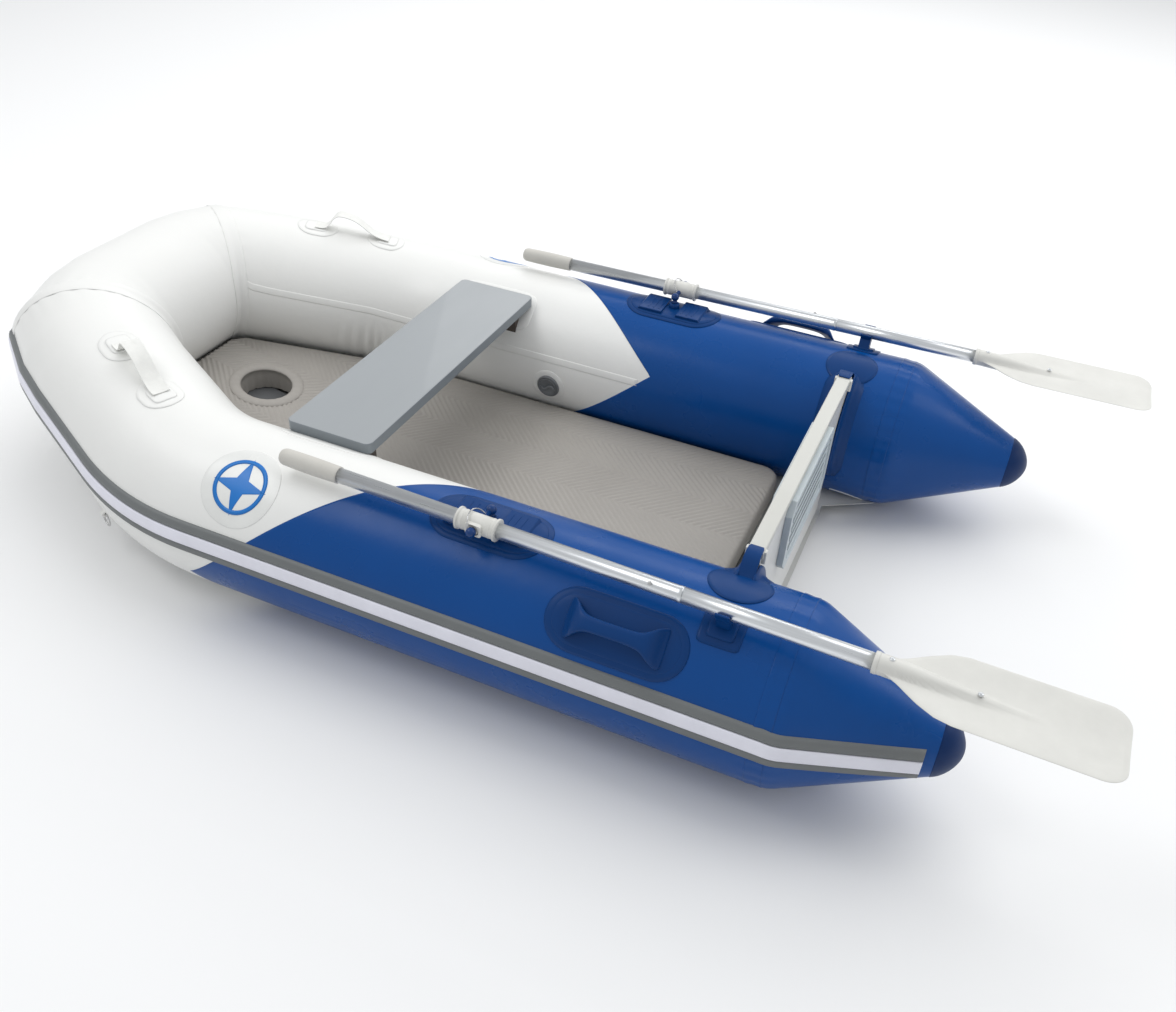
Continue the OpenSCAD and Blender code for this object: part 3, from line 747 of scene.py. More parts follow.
def patch(name, sign, s0, deg, outline, thick, finish, rings=8, dome=0.0, replaced=(), lift=0.0004):
    # a moulded or cut patch: outline is a function from turn angle to reach, along and up the tube
    turns = 72
    verts = [onTube(sign * s0, math.radians(deg), thick + dome + lift)]
    shares = [((i + 1) / rings, thick) for i in range(rings)]
    shares = [(k * 0.985, t + dome * (1 - k * k)) for k, t in shares]
    shares += [(1.0, thick * 0.45), (1.0, -0.0005)]
    for k, t in shares:
        for j in range(turns):
            turn = 2 * math.pi * j / turns
            along, over = outline(turn)
            verts.append(onTube(sign * (s0 + along * k), math.radians(deg) + over * k / tubeR,
                                t + lift))
    faces = [(0, 1 + j, 1 + (j + 1) % turns) for j in range(turns)]
    faces += gridFaces(len(shares), turns, True, 1)
    return tidyNormals(addPiece(name, verts, faces, finish, replaced=replaced))


def oval(length, width):
    # round-ended outline
    def reach(turn):
        x, y = math.cos(turn), math.sin(turn)
        straight = (length - width) / 2
        if abs(y) * straight > abs(x) * width / 2:
            k = width / 2 / abs(y)
            return x * k, y * k
        x0 = straight * abs(x)
        k = x0 + math.sqrt(max(x0 * x0 - straight ** 2 + (width / 2) ** 2, 0))
        return x * k, y * k
    return reach


def squircle(length, width, power=6):
    def reach(turn):
        x, y = math.cos(turn), math.sin(turn)
        k = (abs(2 * x / length) ** power + abs(2 * y / width) ** power) ** (-1 / power)
        return x * k, y * k
    return reach


badge = {"x": -0.3588, "angle": 55, "size": 0.172, "star": 0.062}


def starShape(points, outer, inner):
    # pointed star, one straight edge from tip to notch
    def reach(turn):
        step = math.pi / points
        k = turn % (2 * step)
        k = min(k, 2 * step - k)
        tip, notch = Vector((outer, 0)), Vector((inner * math.cos(step), inner * math.sin(step)))
        ray = Vector((math.cos(k), math.sin(k)))
        edge = notch - tip
        r = (tip.x * edge.y - tip.y * edge.x) / (ray.x * edge.y - ray.y * edge.x)
        return math.cos(turn) * r, math.sin(turn) * r
    return reach


def badgePieces():
    # plain compass star on a clear round patch
    for name, sign in bothSides:
        s = sOfX(badge["x"])
        film = oval(badge["size"] + 0.0001, badge["size"])
        patch("badgeFilm_" + name, sign, s, badge["angle"], film, 0.0005, "clearFilm", 14)
        patch("badgeStar_" + name, sign, s, badge["angle"], starShape(4, badge["star"], 0.020), 0.0004,
              "markBlue", 12, lift=0.0012)
        turns = 96
        verts = []
        for r, h in ((0.0500, 0.0010), (0.0500, 0.0016), (0.0545, 0.0016), (0.0590, 0.0016),
                     (0.0590, 0.0010)):
            for j in range(turns):
                t = 2 * math.pi * j / turns
                verts.append(onTube(sign * (s + r * math.cos(t)),
                                    math.radians(badge["angle"]) + r * math.sin(t) / tubeR, h))
        tidyNormals(addPiece("badgeRing_" + name, verts, gridFaces(5, turns, True), "markBlue"))
    print("badges laid")


badgePieces()


# ---- deck

deckLow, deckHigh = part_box("air_floor")
deck = {"edge": 0.019, "half": 0.0275, "cell": 0.0036, "ridge": 0.0015, "pitch": 0.0125,
        "column": 0.105, "slope": 9.8, "top": 0.099, "corner": 0.051, "hole": 0.065,
        "holeBack": 0.52, "plan": ((0.0, 0.1106), (0.024, 0.1429), (0.3977, 0.3143))}
holeX = cadLow.x + deck["holeBack"]
slopeTan = math.tan(math.radians(deck["slope"]))


def deckTop(x):
    # level aft, rising with the bow ahead of a soft knee
    ahead = bendAt.x - x
    soft = 0.05
    if ahead > soft:
        return deck["top"] + ahead * slopeTan
    if ahead < -soft:
        return deck["top"]
    return deck["top"] + slopeTan * (ahead + soft) ** 2 / (4 * soft)


def deckHalf(x):
    plan = [(deckLow.x + a, w) for a, w in deck["plan"]]
    if x >= deckHigh.x - deck["corner"]:
        k = min((x - deckHigh.x + deck["corner"]) / deck["corner"], 1)
        return deckHigh.y - deck["corner"] * (1 - math.sqrt(1 - k * k))
    for (a, wa), (b, wb) in zip(plan, plan[1:]):
        if x <= b:
            return wa + (wb - wa) * (x - a) / (b - a)
    return plan[-1][1]


def pressed(x, y):
    # herringbone ridges pressed in the deck cloth, flipping at each column
    c = deck["column"]
    fold = abs((y / c) % 2 - 1) * c
    wave = math.cos(2 * math.pi * (x + fold) / (deck["pitch"] * 1.414))
    return deck["ridge"] * wave + 0.0012 * noise.noise(Vector((x * 4, y * 4, 0)))


def squared(a):
    # rounded-square section of the deck's edge
    out, over = math.cos(a), math.sin(a)
    k = (abs(out) ** 3.2 + abs(over) ** 3.2) ** (-1 / 3.2)
    return out * k, over * k


def deckPieces():
    across = 176
    start, end = deckLow.x + 0.001, deckHigh.x - 0.0004
    rows = round((end - start) / deck["cell"])
    turns = 12
    loops = []
    for i in range(rows + 1):
        x = start + (end - start) * i / rows
        w, top = deckHalf(x), deckTop(x)
        nearEnd = max(0.0, x - (deckHigh.x - deck["edge"])) / deck["edge"]
        h = deck["half"] * max(1 - nearEnd ** 3.2, 0.0004) ** (1 / 3.2)
        middle = top - deck["half"]
        e = deck["edge"]
        ring = []
        for j in range(across + 1):
            y = -(w - e) + 2 * (w - e) * j / across
            ring.append((x, y, middle + h + pressed(x, y) * (1 - nearEnd)))
        for j in range(1, turns):
            out, over = squared(math.pi / 2 - math.pi * j / turns)
            ring.append((x, w - e + e * out, middle + h * over))
        for j in range(13):
            ring.append((x, (w - e) * (1 - j / 6), middle - h))
        for j in range(1, turns):
            out, over = squared(-math.pi / 2 - math.pi * j / turns)
            ring.append((x, -(w - e) + e * out, middle + h * over))
        loops.append(ring)
    obj = loft("deckCloth", loops, "deck", replaced=["air_floor"])
    bm = bmesh.new()
    bm.from_mesh(obj.data)
    inside = deck["hole"] + 0.006
    gone = [f for f in bm.faces if math.hypot(f.calc_center_median().x - holeX,
                                              f.calc_center_median().y) < inside]
    bmesh.ops.delete(bm, geom=gone, context="FACES")
    bm.to_mesh(obj.data)
    bm.free()

    def onDeck(r, a, h):
        x = holeX + r * math.cos(a)
        return x, r * math.sin(a), deckTop(x) + h
    rim = []
    for k in range(19):
        t = math.pi * (1.15 - 1.35 * k / 18)
        rim.append([onDeck(0.0785 + (0.0148 + 0.0002 * math.sin(a * 23)) * math.cos(t), a,
                           -0.0012 + (0.0062 + 0.0003 * math.sin(a * 23 + 1)) * math.sin(t))
                    for a in angles])
    rim = [[onDeck(0.0655 + 0.0010 * math.sin(a * 19) * k, a, -0.055 + 0.05 * (1 - k)) for a in angles]
           for k in (1.0, 0.75, 0.5, 0.25)] + rim
    verts = [p for ring in rim for p in ring]
    addPiece("holeRim", verts, gridFaces(len(rim), around, True), "deck",
             replaced=["floor_hole_rim"])
    # inflation valve of the deck, down in the hole
    where = Vector((holeX - 0.012, -0.028, deckTop(holeX) - 0.055))
    lathe([(0, 0.001), (0, 0.021), (0.006, 0.021), (0.008, 0.018), (0.008, 0.012), (0.013, 0.0115),
           (0.015, 0.009), (0.015, 0.001)], lambda t, a, b: where + Vector((a, b, t)), "holeValve",
          "valveGrey")
    print("deck laid")


deckPieces()


# ---- seat

def shadedSides(obj, finish):
    # a darker copy of the paint on the standing faces: painted shade, the sides lit less than the top
    obj.data.materials.append(finishes[finish])
    for f in obj.data.polygons:
        if abs(f.normal.z) < 0.5:
            f.material_index = 1
    return obj


seat = {"corner": 0.014, "edge": 0.0025}


def seatPieces():
    low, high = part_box("seat_board")
    mid = (low + high) / 2
    outline = roundRect(high.x - low.x, high.y - low.y, seat["corner"])
    obj = prism("seatBoard", outline, low.z, high.z, lambda x, y, z: (mid.x + x, mid.y + y, z),
                "seatPaint", "seat", ["seat_board"])
    # the board's standing faces take the darker copy of the paint: painted shade
    soften(shadedSides(obj, "seatEdge"), seat["edge"])
    for name, sign in bothSides:
        # pad under the board's end
        s = sOfX(mid.x)
        patch("seatPad_" + name, sign, s, 130, squircle(0.22, 0.11, 5), 0.0012, "whiteCloth", 8)
    print("seat laid")


seatPieces()


# ---- transom

transom = {"edge": 0.0012, "frame": 0.018, "recess": 0.004}


def plateOutline(low, high, cut=0.025, inset=0.0):
    y0, y1, z0, z1 = low.y + inset, high.y - inset, low.z + inset, high.z - inset
    return [(y0, z0 + cut), (y0 + cut, z0), (y1 - cut, z0), (y1, z0 + cut), (y1, z1 - cut),
            (y1 - cut, z1), (y0 + cut, z1), (y0, z1 - cut)]


def transomPieces():
    low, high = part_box("transom_cap")
    mid = (low + high) / 2
    w, t = (high.x - low.x) / 2, high.z - low.z
    # channel strip pressed on the board's top edge
    section = [(-w, -t), (-w, -0.001), (-w + 0.002, 0), (w - 0.002, 0), (w, -0.001), (w, -t),
               (w - 0.0025, -t), (w - 0.0025, -0.003), (-w + 0.0025, -0.003), (-w + 0.0025, -t)]
    loops = [[(mid.x + x, y, high.z + z) for x, z in section] for y in (low.y, high.y)]
    soften(loft("transomCap", loops, "topStrip", replaced=["transom_cap"], smooth=False), 0.0008)
    for end in (-1, 1):
        # small end stops on the strip
        soften(prism("capStop" + ("A" if end < 0 else "B"), roundRect(2 * w + 0.009, 0.012, 0.003),
                     high.z - 0.03, high.z - 0.002,
                     lambda x, y, z: (mid.x + x, end * (high.y - 0.012) + y, z), "ivory"),
               transom["edge"])
    for part, outward in (("fore", -1), ("aft", 1)):
        low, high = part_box("motor_plate_" + part)
        face = high.x if part == "aft" else low.x
        obj = prism("motorPlate_" + part, plateOutline(low, high), low.x, high.x,
                    lambda y, z, x: (x, y, z), "plateGrey", replaced=["motor_plate_" + part],
                    smooth=False)
        a, b = sorted((face - outward * transom["recess"], face + outward * 0.01))
        cutOut(obj, plateOutline(low, high, 0.02, transom["frame"]), a, b, lambda y, z, x: (x, y, z))
        soften(obj, transom["edge"])
        # pressed ribs across the pad
        for i in range(5):
            z = low.z + 0.04 + i * 0.024
            bar = roundRect(high.y - low.y - 0.08, 0.009, 0.0044, 4)
            ribFrom, ribTo = sorted((a + 0.001 if part == "aft" else b - 0.001,
                                     face - outward * 0.0012))
            soften(prism("plateRib_%s%d" % (part, i), bar, ribFrom, ribTo,
                         lambda y, zz, x: (x, y, z + zz), "plateGrey", smooth=False), 0.0008)
    boardLow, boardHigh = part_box("transom_board")
    for name, sign in bothSides:
        x = (boardLow.x + boardHigh.x) / 2
        s = sOfX(x)
        patch("holderPatch_" + name, sign, s, 104, oval(0.122, 0.114), 0.0024, "blueMoulding", 10,
              dome=0.0012, replaced=["transom_holder_" + name])
        gap = (boardHigh.x - boardLow.x) / 2
        # each cheek stands against the board and spreads out over the tube
        for cheek, k in (("Fore", -1), ("Aft", 1)):
            loops = []
            for i in range(31):
                deg = 112 + 86 * i / 30
                rise = min(min(i, 30 - i) / 4, 1) ** 0.7
                h, spreadOut = 0.003 + 0.023 * rise, 0.018 + 0.014 * rise
                row = [onTube(sign * (s + k * (gap + 0.0008 + dx)), math.radians(deg), hh) for dx, hh in
                       ((0, -0.001), (0, h * 0.8), (0.0012, h), (0.0042, h * 0.97), (0.0065, h * 0.75),
                        (0.010, h * 0.42), (spreadOut * 0.55, h * 0.18 + 0.001), (spreadOut, 0.0014),
                        (spreadOut + 0.0005, -0.001))]
                loops.append(row)
            loft("holderCheek%s_%s" % (cheek, name), loops, "blueMoulding")
        # tongue lapping from the patch over the board's end
        w = gap + 0.006
        path = [(0.341, 0.3728), (0.349, 0.3742), (0.358, 0.3742), (0.368, 0.3735), (0.378, 0.3690),
                (0.388, 0.3600), (0.397, 0.3505), (0.406, 0.3440)]
        loops = []
        for i, (y, z) in enumerate(path):
            ww = w * (0.66 if i == 0 else 0.8 if i < 4 else 0.84)
            loops.append([(x + dx, sign * y, z + dz) for dx, dz in
                          ((-ww, 0), (-ww, 0.0026), (ww, 0.0026), (ww, 0))])
        soften(loft("holderTongue_" + name, loops, "blueMoulding"), 0.001)
        # white flap of the bottom cloth glued along the tube behind the transom
        flap = []
        for i in range(25):
            k = i / 24
            ss = sOfX(boardHigh.x + 0.01) + 0.10 * k
            upper = 222 + 22 * k ** 3
            section = [(upper, 0.0004), (upper, 0.002), (upper + 1, 0.0023), (255, 0.0023),
                       (268, 0.0023), (268, 0.0004)]
            flap.append([onTube(sign * ss, math.radians(d), h + slackOf(ss, math.radians(d)))
                         for d, h in section])
        loft("sternFlap_" + name, flap, "whiteCloth")
    print("transom laid")


transomPieces()


# ---- cone caps

def conePieces():
    for name, sign in bothSides:
        low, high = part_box("cone_cap_" + name)
        run = high.x - low.x
        base = coneRadius(low.x - coneX)
        wall = coneCap["wall"]
        profile = [(-0.002, base - 0.001), (-0.0016, base + wall * 0.7), (0, base + wall)]
        # follows the cone, then rounds over like a bullet
        straight = run - coneCap["round"]
        profile += [(t, coneRadius(low.x - coneX + t) + wall)
                    for t in (straight * k / 5 for k in range(1, 6))]
        last = profile[-1][1]
        fall = (base + wall - last) / straight
        for k in range(1, coneCap["steps"] + 1):
            t = math.sin(math.radians(3.7 * k))
            ahead = t * coneCap["round"]
            profile.append((straight + ahead, (last - fall * ahead) * math.sqrt(1 - t ** 2.4)))
        lathe(profile, lambda t, a, b: (low.x + t, sign * hull["axisY"] + a, tubeR + b),
              "coneCap_" + name, "capRubber", replaced=["cone_cap_" + name], sides=72)
    print("cone caps laid")


conePieces()


# ---- rowlocks and oars

oar = {"splay": 1.45, "arm": 0.048, "shaft": 0.015, "grip": -0.443, "joint": 0.404, "neck": 0.737,
       "tip": 1.132, "half": 0.082, "corner": 0.038, "button": 0.345, "ball": 0.010,
       "spine": 0.0185, "plate": 0.0026, "keeper": 0.029, "bossHole": 0.0118,
       "rivets": (0.7635, 0.9055)}
pins = {j["name"][10:]: Vector(j["pos_m"]) for j in frame["joints"]
        if j["name"].startswith("oar_swing_")}
splay = math.radians(oar["splay"])


def oarPlace(name, sign):
    # along the oar, outboard of the pin, up
    way = Vector((math.cos(splay), sign * math.sin(splay), 0))
    out = Vector((-math.sin(splay), sign * math.cos(splay), 0))
    return lambda t, u, v: pins[name] + way * t + out * u + Vector((0, 0, v))


def ball(r, steps=16):
    return [(-r * math.cos(math.pi * k / steps), max(r * math.sin(math.pi * k / steps), 0.00002))
            for k in range(steps + 1)]


rowlock = {"ends": (0.106, 0.078, 0.019), "inner": -0.046, "outer": 0.036, "top": 0.008}


def rowlockPieces():
    for name, sign in bothSides:
        pin = pins[name]
        crown = 2 * tubeR
        patch("rowlockFlange_" + name, sign, sOfX(pin.x), 86, oval(0.250, 0.128), 0.0028,
              "blueMoulding", 10, replaced=["rowlock_base_" + name])
        patch("rowlockStep_" + name, sign, sOfX(pin.x), 86, oval(0.228, 0.106), 0.0016,
              "blueMoulding", 8, lift=0.0028)
        foot, shoulder, inner = rowlock["ends"]

        def put(x, z, y):
            return pin.x + x, sign * (hull["axisY"] + 0.013 + y), crown + z
        for part, k in (("Fore", -1), ("Aft", 1)):
            outline = [(k * foot, -0.024), (k * shoulder, rowlock["top"]), (k * inner, rowlock["top"]),
                       (k * inner, -0.024)]
            block = prism("rowlockHump%s_%s" % (part, name), outline, rowlock["inner"],
                          rowlock["outer"], put, "blueMoulding", smooth=False)
            # hollow under the sloped end, with a thin arched lip
            pocket = [(k * 0.125, -0.040), (k * 0.094, 0.0012), (k * 0.074, 0.0035),
                      (k * 0.062, -0.002), (k * 0.060, -0.040)]
            cutOut(block, pocket, rowlock["inner"] + 0.012, rowlock["outer"] - 0.012, put)
            soften(block, 0.0016, 2)
            block.data.polygons.foreach_set("use_smooth", [False] * len(block.data.polygons))
            # grip ribs on the hump's top
            for r in range(3):
                x = k * (0.030 + 0.014 * r)
                rib = roundRect(0.004, 0.060, 0.0019, 3)
                v, f = extruded(rib, rowlock["top"] - 0.001, rowlock["top"] + 0.0007,
                                lambda a, b, z: (pin.x + x + a, sign * (hull["axisY"] + 0.008 + b),
                                                 crown + z))
                addPiece("humpRib%s%d_%s" % (part, r, name), v, f, "blueMoulding", smooth=False)
        lathe([(-0.014, 0.014), (0.008, 0.0135), (0.0145, 0.0125), (0.016, 0.0105), (0.016, 0.0065),
               (0.006, 0.0062), (0.006, 0.001)], lambda t, a, b: (pin.x + a, pin.y + b, crown + t),
              "rowlockSocket_" + name, "blueMoulding")
        body = "rowlock_" + name
        put = oarPlace(name, sign)
        arm = oar["arm"]

        def upright(t, a, b):
            return put(a, b, t)

        def outward(t, a, b):
            return put(a, t, b)

        arms = [(0.004, 0.0049), (0.068, 0.0049), (0.071, 0.0045)]
        knob = [(arm + oar["keeper"] + t, r) for t, r in ball(oar["ball"])]
        rods = [("pinBall_", ball(oar["ball"]), upright, ["rowlock_pin_" + name]),
                ("pinStem_", [(-0.026, 0.0058), (-0.006, 0.0058)], upright, ()),
                ("pinArm_", arms, outward, ()),
                ("pinKnob_", knob, outward, ())]
        for stem, profile, place, replaced in rods:
            lathe(profile, place, stem + name, "bluePlastic", body, replaced, 32)
        lean = math.radians(35)
        points = []
        for i in range(33):
            a = math.radians(180 * i / 32)
            across, high = oar["keeper"] * math.cos(a), oar["keeper"] * math.sin(a)
            points.append(put(-high * math.sin(lean), arm + across, high * math.cos(lean)))
        barAlong(points, 0.0012, "keeperWire_" + name, "wire", body, ["keeper_wire_" + name], 10)
    print("rowlocks laid")


rowlockPieces()


def bladeHalf(t):
    spine = ((0.0, 0.0185), (0.022, 0.0195), (0.045, 0.032), (0.080, 0.058), (0.112, 0.076),
             (0.140, 0.082))
    u = t - oar["neck"]
    if t > oar["tip"] - oar["corner"]:
        k = min((t - oar["tip"] + oar["corner"]) / oar["corner"], 1)
        return oar["half"] - oar["corner"] * (1 - math.sqrt(max(1 - k * k, 0)))
    for (a, wa), (b, wb) in zip(spine, spine[1:]):
        if u <= b:
            k = (u - a) / (b - a)
            return wa + (wb - wa) * k
    return oar["half"]


def bladeLoop(put, t):
    # one section: thin cupped plate with a round spine fading to the tip
    w = bladeHalf(t)
    u = (t - oar["neck"] - 0.06) / (oar["tip"] - oar["neck"] - 0.10)
    r = oar["spine"] if u < 0 else oar["spine"] - 0.0175 * min(u * 1.35, 1)
    plate = oar["plate"] * (1 if t < oar["tip"] - 0.006 else 0.6)
    top, bottom = [], []
    n = 44
    fade = min(max((t - oar["neck"] - 0.02) / 0.1, 0), 1)
    for j in range(n + 1):
        y = -w * math.cos(math.pi * j / n)
        spine = math.sqrt(max(r * r - y * y, 0))
        flat = plate * math.sqrt(max(1 - (y / w) ** 6, 0))
        cup = fade * 0.006 * (y / oar["half"]) ** 2
        # blend of spine and plate, with a small fillet
        high = (spine ** 4 + flat ** 4) ** 0.25
        low = (min(spine, r * (1 - 0.35 * fade)) ** 4 + flat ** 4) ** 0.25
        top.append(put(t, oar["arm"] + y, high + cup - 0.004 * fade))
        bottom.append(put(t, oar["arm"] + y, -low + cup - 0.004 * fade))
    return top + bottom[::-1][1:-1]


def oarPieces():
    for name, sign in bothSides:
        put = oarPlace(name, sign)
        arm, r = oar["arm"], oar["shaft"]
        body = "oar_" + name

        def onShaft(t, a, b):
            return put(t, arm + a, b)
        g = oar["grip"]
        grip = [(g, 0.0001), (g, 0.0105), (g + 0.0015, 0.0135), (g + 0.005, 0.0158),
                (g + 0.010, 0.0170)]
        grip += [(g + 0.010 + 0.122 * k / 12,
                  0.0170 + 0.0010 * math.sin(math.pi * k / 12)) for k in range(1, 12)]
        grip += [(g + 0.132, 0.0172), (g + 0.1355, 0.0168), (g + 0.136, 0.0155)]
        lathe(grip, onShaft, "oarGrip_" + name, "ivoryGrip", body, ["oar_grip_" + name])
        lathe([(g + 0.134, r), (oar["joint"] - 0.008, r), (oar["joint"] - 0.007, r + 0.0004),
               (oar["joint"] - 0.0005, r + 0.0004), (oar["joint"], r - 0.0006)], onShaft,
              "oarShaftUpper_" + name, "alloy", body, ["oar_shaft_upper_" + name], 48)
        lathe([(oar["joint"], r - 0.0008), (oar["joint"] + 0.0012, r - 0.0008),
               (oar["joint"] + 0.0016, r), (oar["neck"] + 0.02, r)], onShaft,
              "oarShaftLower_" + name, "alloy", body, ["oar_shaft_lower_" + name], 48)
        collar = [(-0.042, r), (-0.042, 0.0205), (-0.0412, 0.0219), (-0.0375, 0.0219),
                  (-0.0366, 0.0205), (-0.036, 0.0193), (-0.030, 0.0193), (-0.0295, 0.0198),
                  (-0.0275, 0.0198), (-0.027, 0.0193)]
        collar += [(-t, q) for t, q in collar[::-1]]
        lathe(collar, onShaft, "oarCollar_" + name, "ivory", body, ["oar_collar_" + name], 56)
        # square boss round the rowlock's knob
        outline = roundRect(0.034, 0.026, 0.006, 5)
        boss = prism("collarBoss_" + name, outline, arm + 0.012, arm + 0.0225,
                     lambda a, b, u: put(a, u, b), "ivory", body)
        turns = [2 * math.pi * k / 32 for k in range(32)]
        hole = [(oar["bossHole"] * math.cos(a), oar["bossHole"] * math.sin(a)) for a in turns]
        cutOut(boss, hole, arm + 0.005, arm + 0.03, lambda a, b, u: put(a, u, b))
        soften(boss, 0.0009)
        steps = [oar["neck"] + 0.0015 * k for k in range(3)]
        steps += spread(oar["neck"] + 0.006, oar["tip"] - oar["corner"], 0.007)
        steps += [oar["tip"] - oar["corner"] * (1 - math.sin(math.pi / 2 * k / 10))
                  for k in range(1, 10)]
        steps.append(oar["tip"] - 0.0001)
        loft("oarBlade_" + name, [bladeLoop(put, t) for t in steps], "ivory", body,
             ["oar_blade_" + name])
        lathe([(oar["neck"] - 0.001, r + 0.0002), (oar["neck"] - 0.001, 0.0178), (oar["neck"], 0.0192),
               (oar["neck"] + 0.006, 0.0196), (oar["neck"] + 0.008, 0.0186)], onShaft,
              "bladeLip_" + name, "ivory", body, sides=48)
        for i, t in enumerate(oar["rivets"]):
            u = (t - oar["neck"] - 0.06) / (oar["tip"] - oar["neck"] - 0.10)
            crest = oar["spine"] if u < 0 else oar["spine"] - 0.0145 * u
            high = crest - 0.004 * min((t - oar["neck"] - 0.02) / 0.1, 1)
            lathe([(high - 0.002, 0.0045), (high + 0.0008, 0.0045), (high + 0.0018, 0.0036),
                   (high + 0.0024, 0.0015), (high + 0.0025, 0.0001)],
                  lambda q, a, b: put(t + a, arm + b, q), "bladeRivet%d_%s" % (i, name), "alloy",
                  body, sides=24)
        k = math.sqrt(0.5)
        base = r - 0.002
        lathe([(base, 0.0039), (base + 0.0042, 0.0039), (base + 0.0052, 0.0033),
               (base + 0.0056, 0.0020), (base + 0.0057, 0.0001)],
              lambda q, a, b: put(oar["button"] + a, arm + (q + b) * k, (q - b) * k),
              "oarButton_" + name, "wire", "button_" + name, ["oar_button_" + name], 24, slot="alloy")
    print("oars laid")


oarPieces()


# ---- fittings on the tubes

def radialPlace(x, deg, sign):
    # along the boat, round the tube outboard, out from the tube's axis
    a = math.radians(deg)
    return lambda t, u, v: Vector((x + t, sign * (hull["axisY"] + u * math.sin(a) + v * math.cos(a)),
                                   tubeR - u * math.cos(a) + v * math.sin(a)))


clip = {"along": 0.482, "base": 0.078, "half": 0.013, "jaw": 0.0157, "wall": 0.0045}


def clipPieces():
    for name, sign in bothSides:
        middle = oarPlace(name, sign)(clip["along"], oar["arm"], 0)
        dy, dz = abs(middle.y) - hull["axisY"], middle.z - tubeR
        deg, reach = math.degrees(math.atan2(dz, dy)), math.hypot(dy, dz)
        put = radialPlace(middle.x, deg, sign)
        s = sOfX(middle.x)
        patch("clipPlate_" + name, sign, s, deg - 3, squircle(clip["base"], clip["base"], 10),
              0.0030, "blueMoulding", 8, replaced=["oar_clip_" + name])
        patch("clipStep_" + name, sign, s, deg - 3, squircle(0.05, 0.05, 10), 0.0035,
              "blueMoulding", 6, lift=0.003)
        jaw, wall = clip["jaw"], clip["wall"]
        arc = [math.radians(a) for a in range(200, 361, 10)]
        outline = [(jaw * math.cos(a), jaw * math.sin(a)) for a in arc]
        outline += [(jaw, 0.008), (jaw + 0.002, 0.014), (jaw + wall + 0.002, 0.014),
                    (jaw + wall, 0.004)]
        outline += [((jaw + wall) * math.cos(a), (jaw + wall) * math.sin(a)) for a in arc[::-1]]
        soften(prism("clipJaw_" + name, outline, -clip["half"], clip["half"],
                     lambda u, w, t: put(t, u, reach + w), "blueMoulding", smooth=False), 0.0012)
        post = [(-0.016, tubeR), (0.016, tubeR), (0.0125, reach - jaw - 0.001),
                (-0.0125, reach - jaw - 0.001)]
        soften(prism("clipPost_" + name, post, -clip["half"], clip["half"],
                     lambda u, w, t: put(t, u, w), "blueMoulding", smooth=False), 0.0015)
    print("clips laid")


clipPieces()

handle = {"back": 0.306, "angle": 45, "bar": ((-0.095, 0.074, -0.001, 0.003),
                                              (-0.088, 0.074, 0.000, 0.008),
                                              (-0.080, 0.066, 0.004, 0.021),
                                              (-0.070, 0.050, 0.010, 0.031),
                                              (-0.058, 0.031, 0.017, 0.0345),
                                              (-0.044, 0.024, 0.0205, 0.035),
                                              (-0.020, 0.023, 0.0215, 0.0355),
                                              (0.0, 0.023, 0.0215, 0.036))}


def handlePieces():
    for name, sign in bothSides:
        s0 = sOfX(pins[name].x + handle["back"])
        patch("handlePad_" + name, sign, s0, handle["angle"], oval(0.272, 0.122), 0.0028,
              "blueMoulding", 12, replaced=["grab_handle_" + name])
        patch("handleDish_" + name, sign, s0, handle["angle"], oval(0.244, 0.094), 0.0007,
              "blueMoulding", 10, lift=0.0028)
        half = list(handle["bar"])
        loops = []
        for a, w, low, high in half + [(-a, w, low, high) for a, w, low, high in half[:-1][::-1]]:
            ring = []
            for dy, k in ((-0.5, 0.25), (-0.5, 0.75), (-0.38, 1.0), (0.0, 1.0), (0.38, 1.0),
                          (0.5, 0.75), (0.5, 0.25), (0.38, 0.0), (0.0, 0.0), (-0.38, 0.0)):
                ring.append(onTube(sign * (s0 + a), math.radians(handle["angle"]) + dy * w / tubeR,
                                   0.003 + low + (high - low) * k))
            loops.append(ring)
        rounded(loft("handleBar_" + name, loops, "blueMoulding"))
    print("handles laid")


handlePieces()

bowStrap = {"along": 0.205, "rise": 0.048, "width": 0.038, "thick": 0.0022, "foot": 0.094}


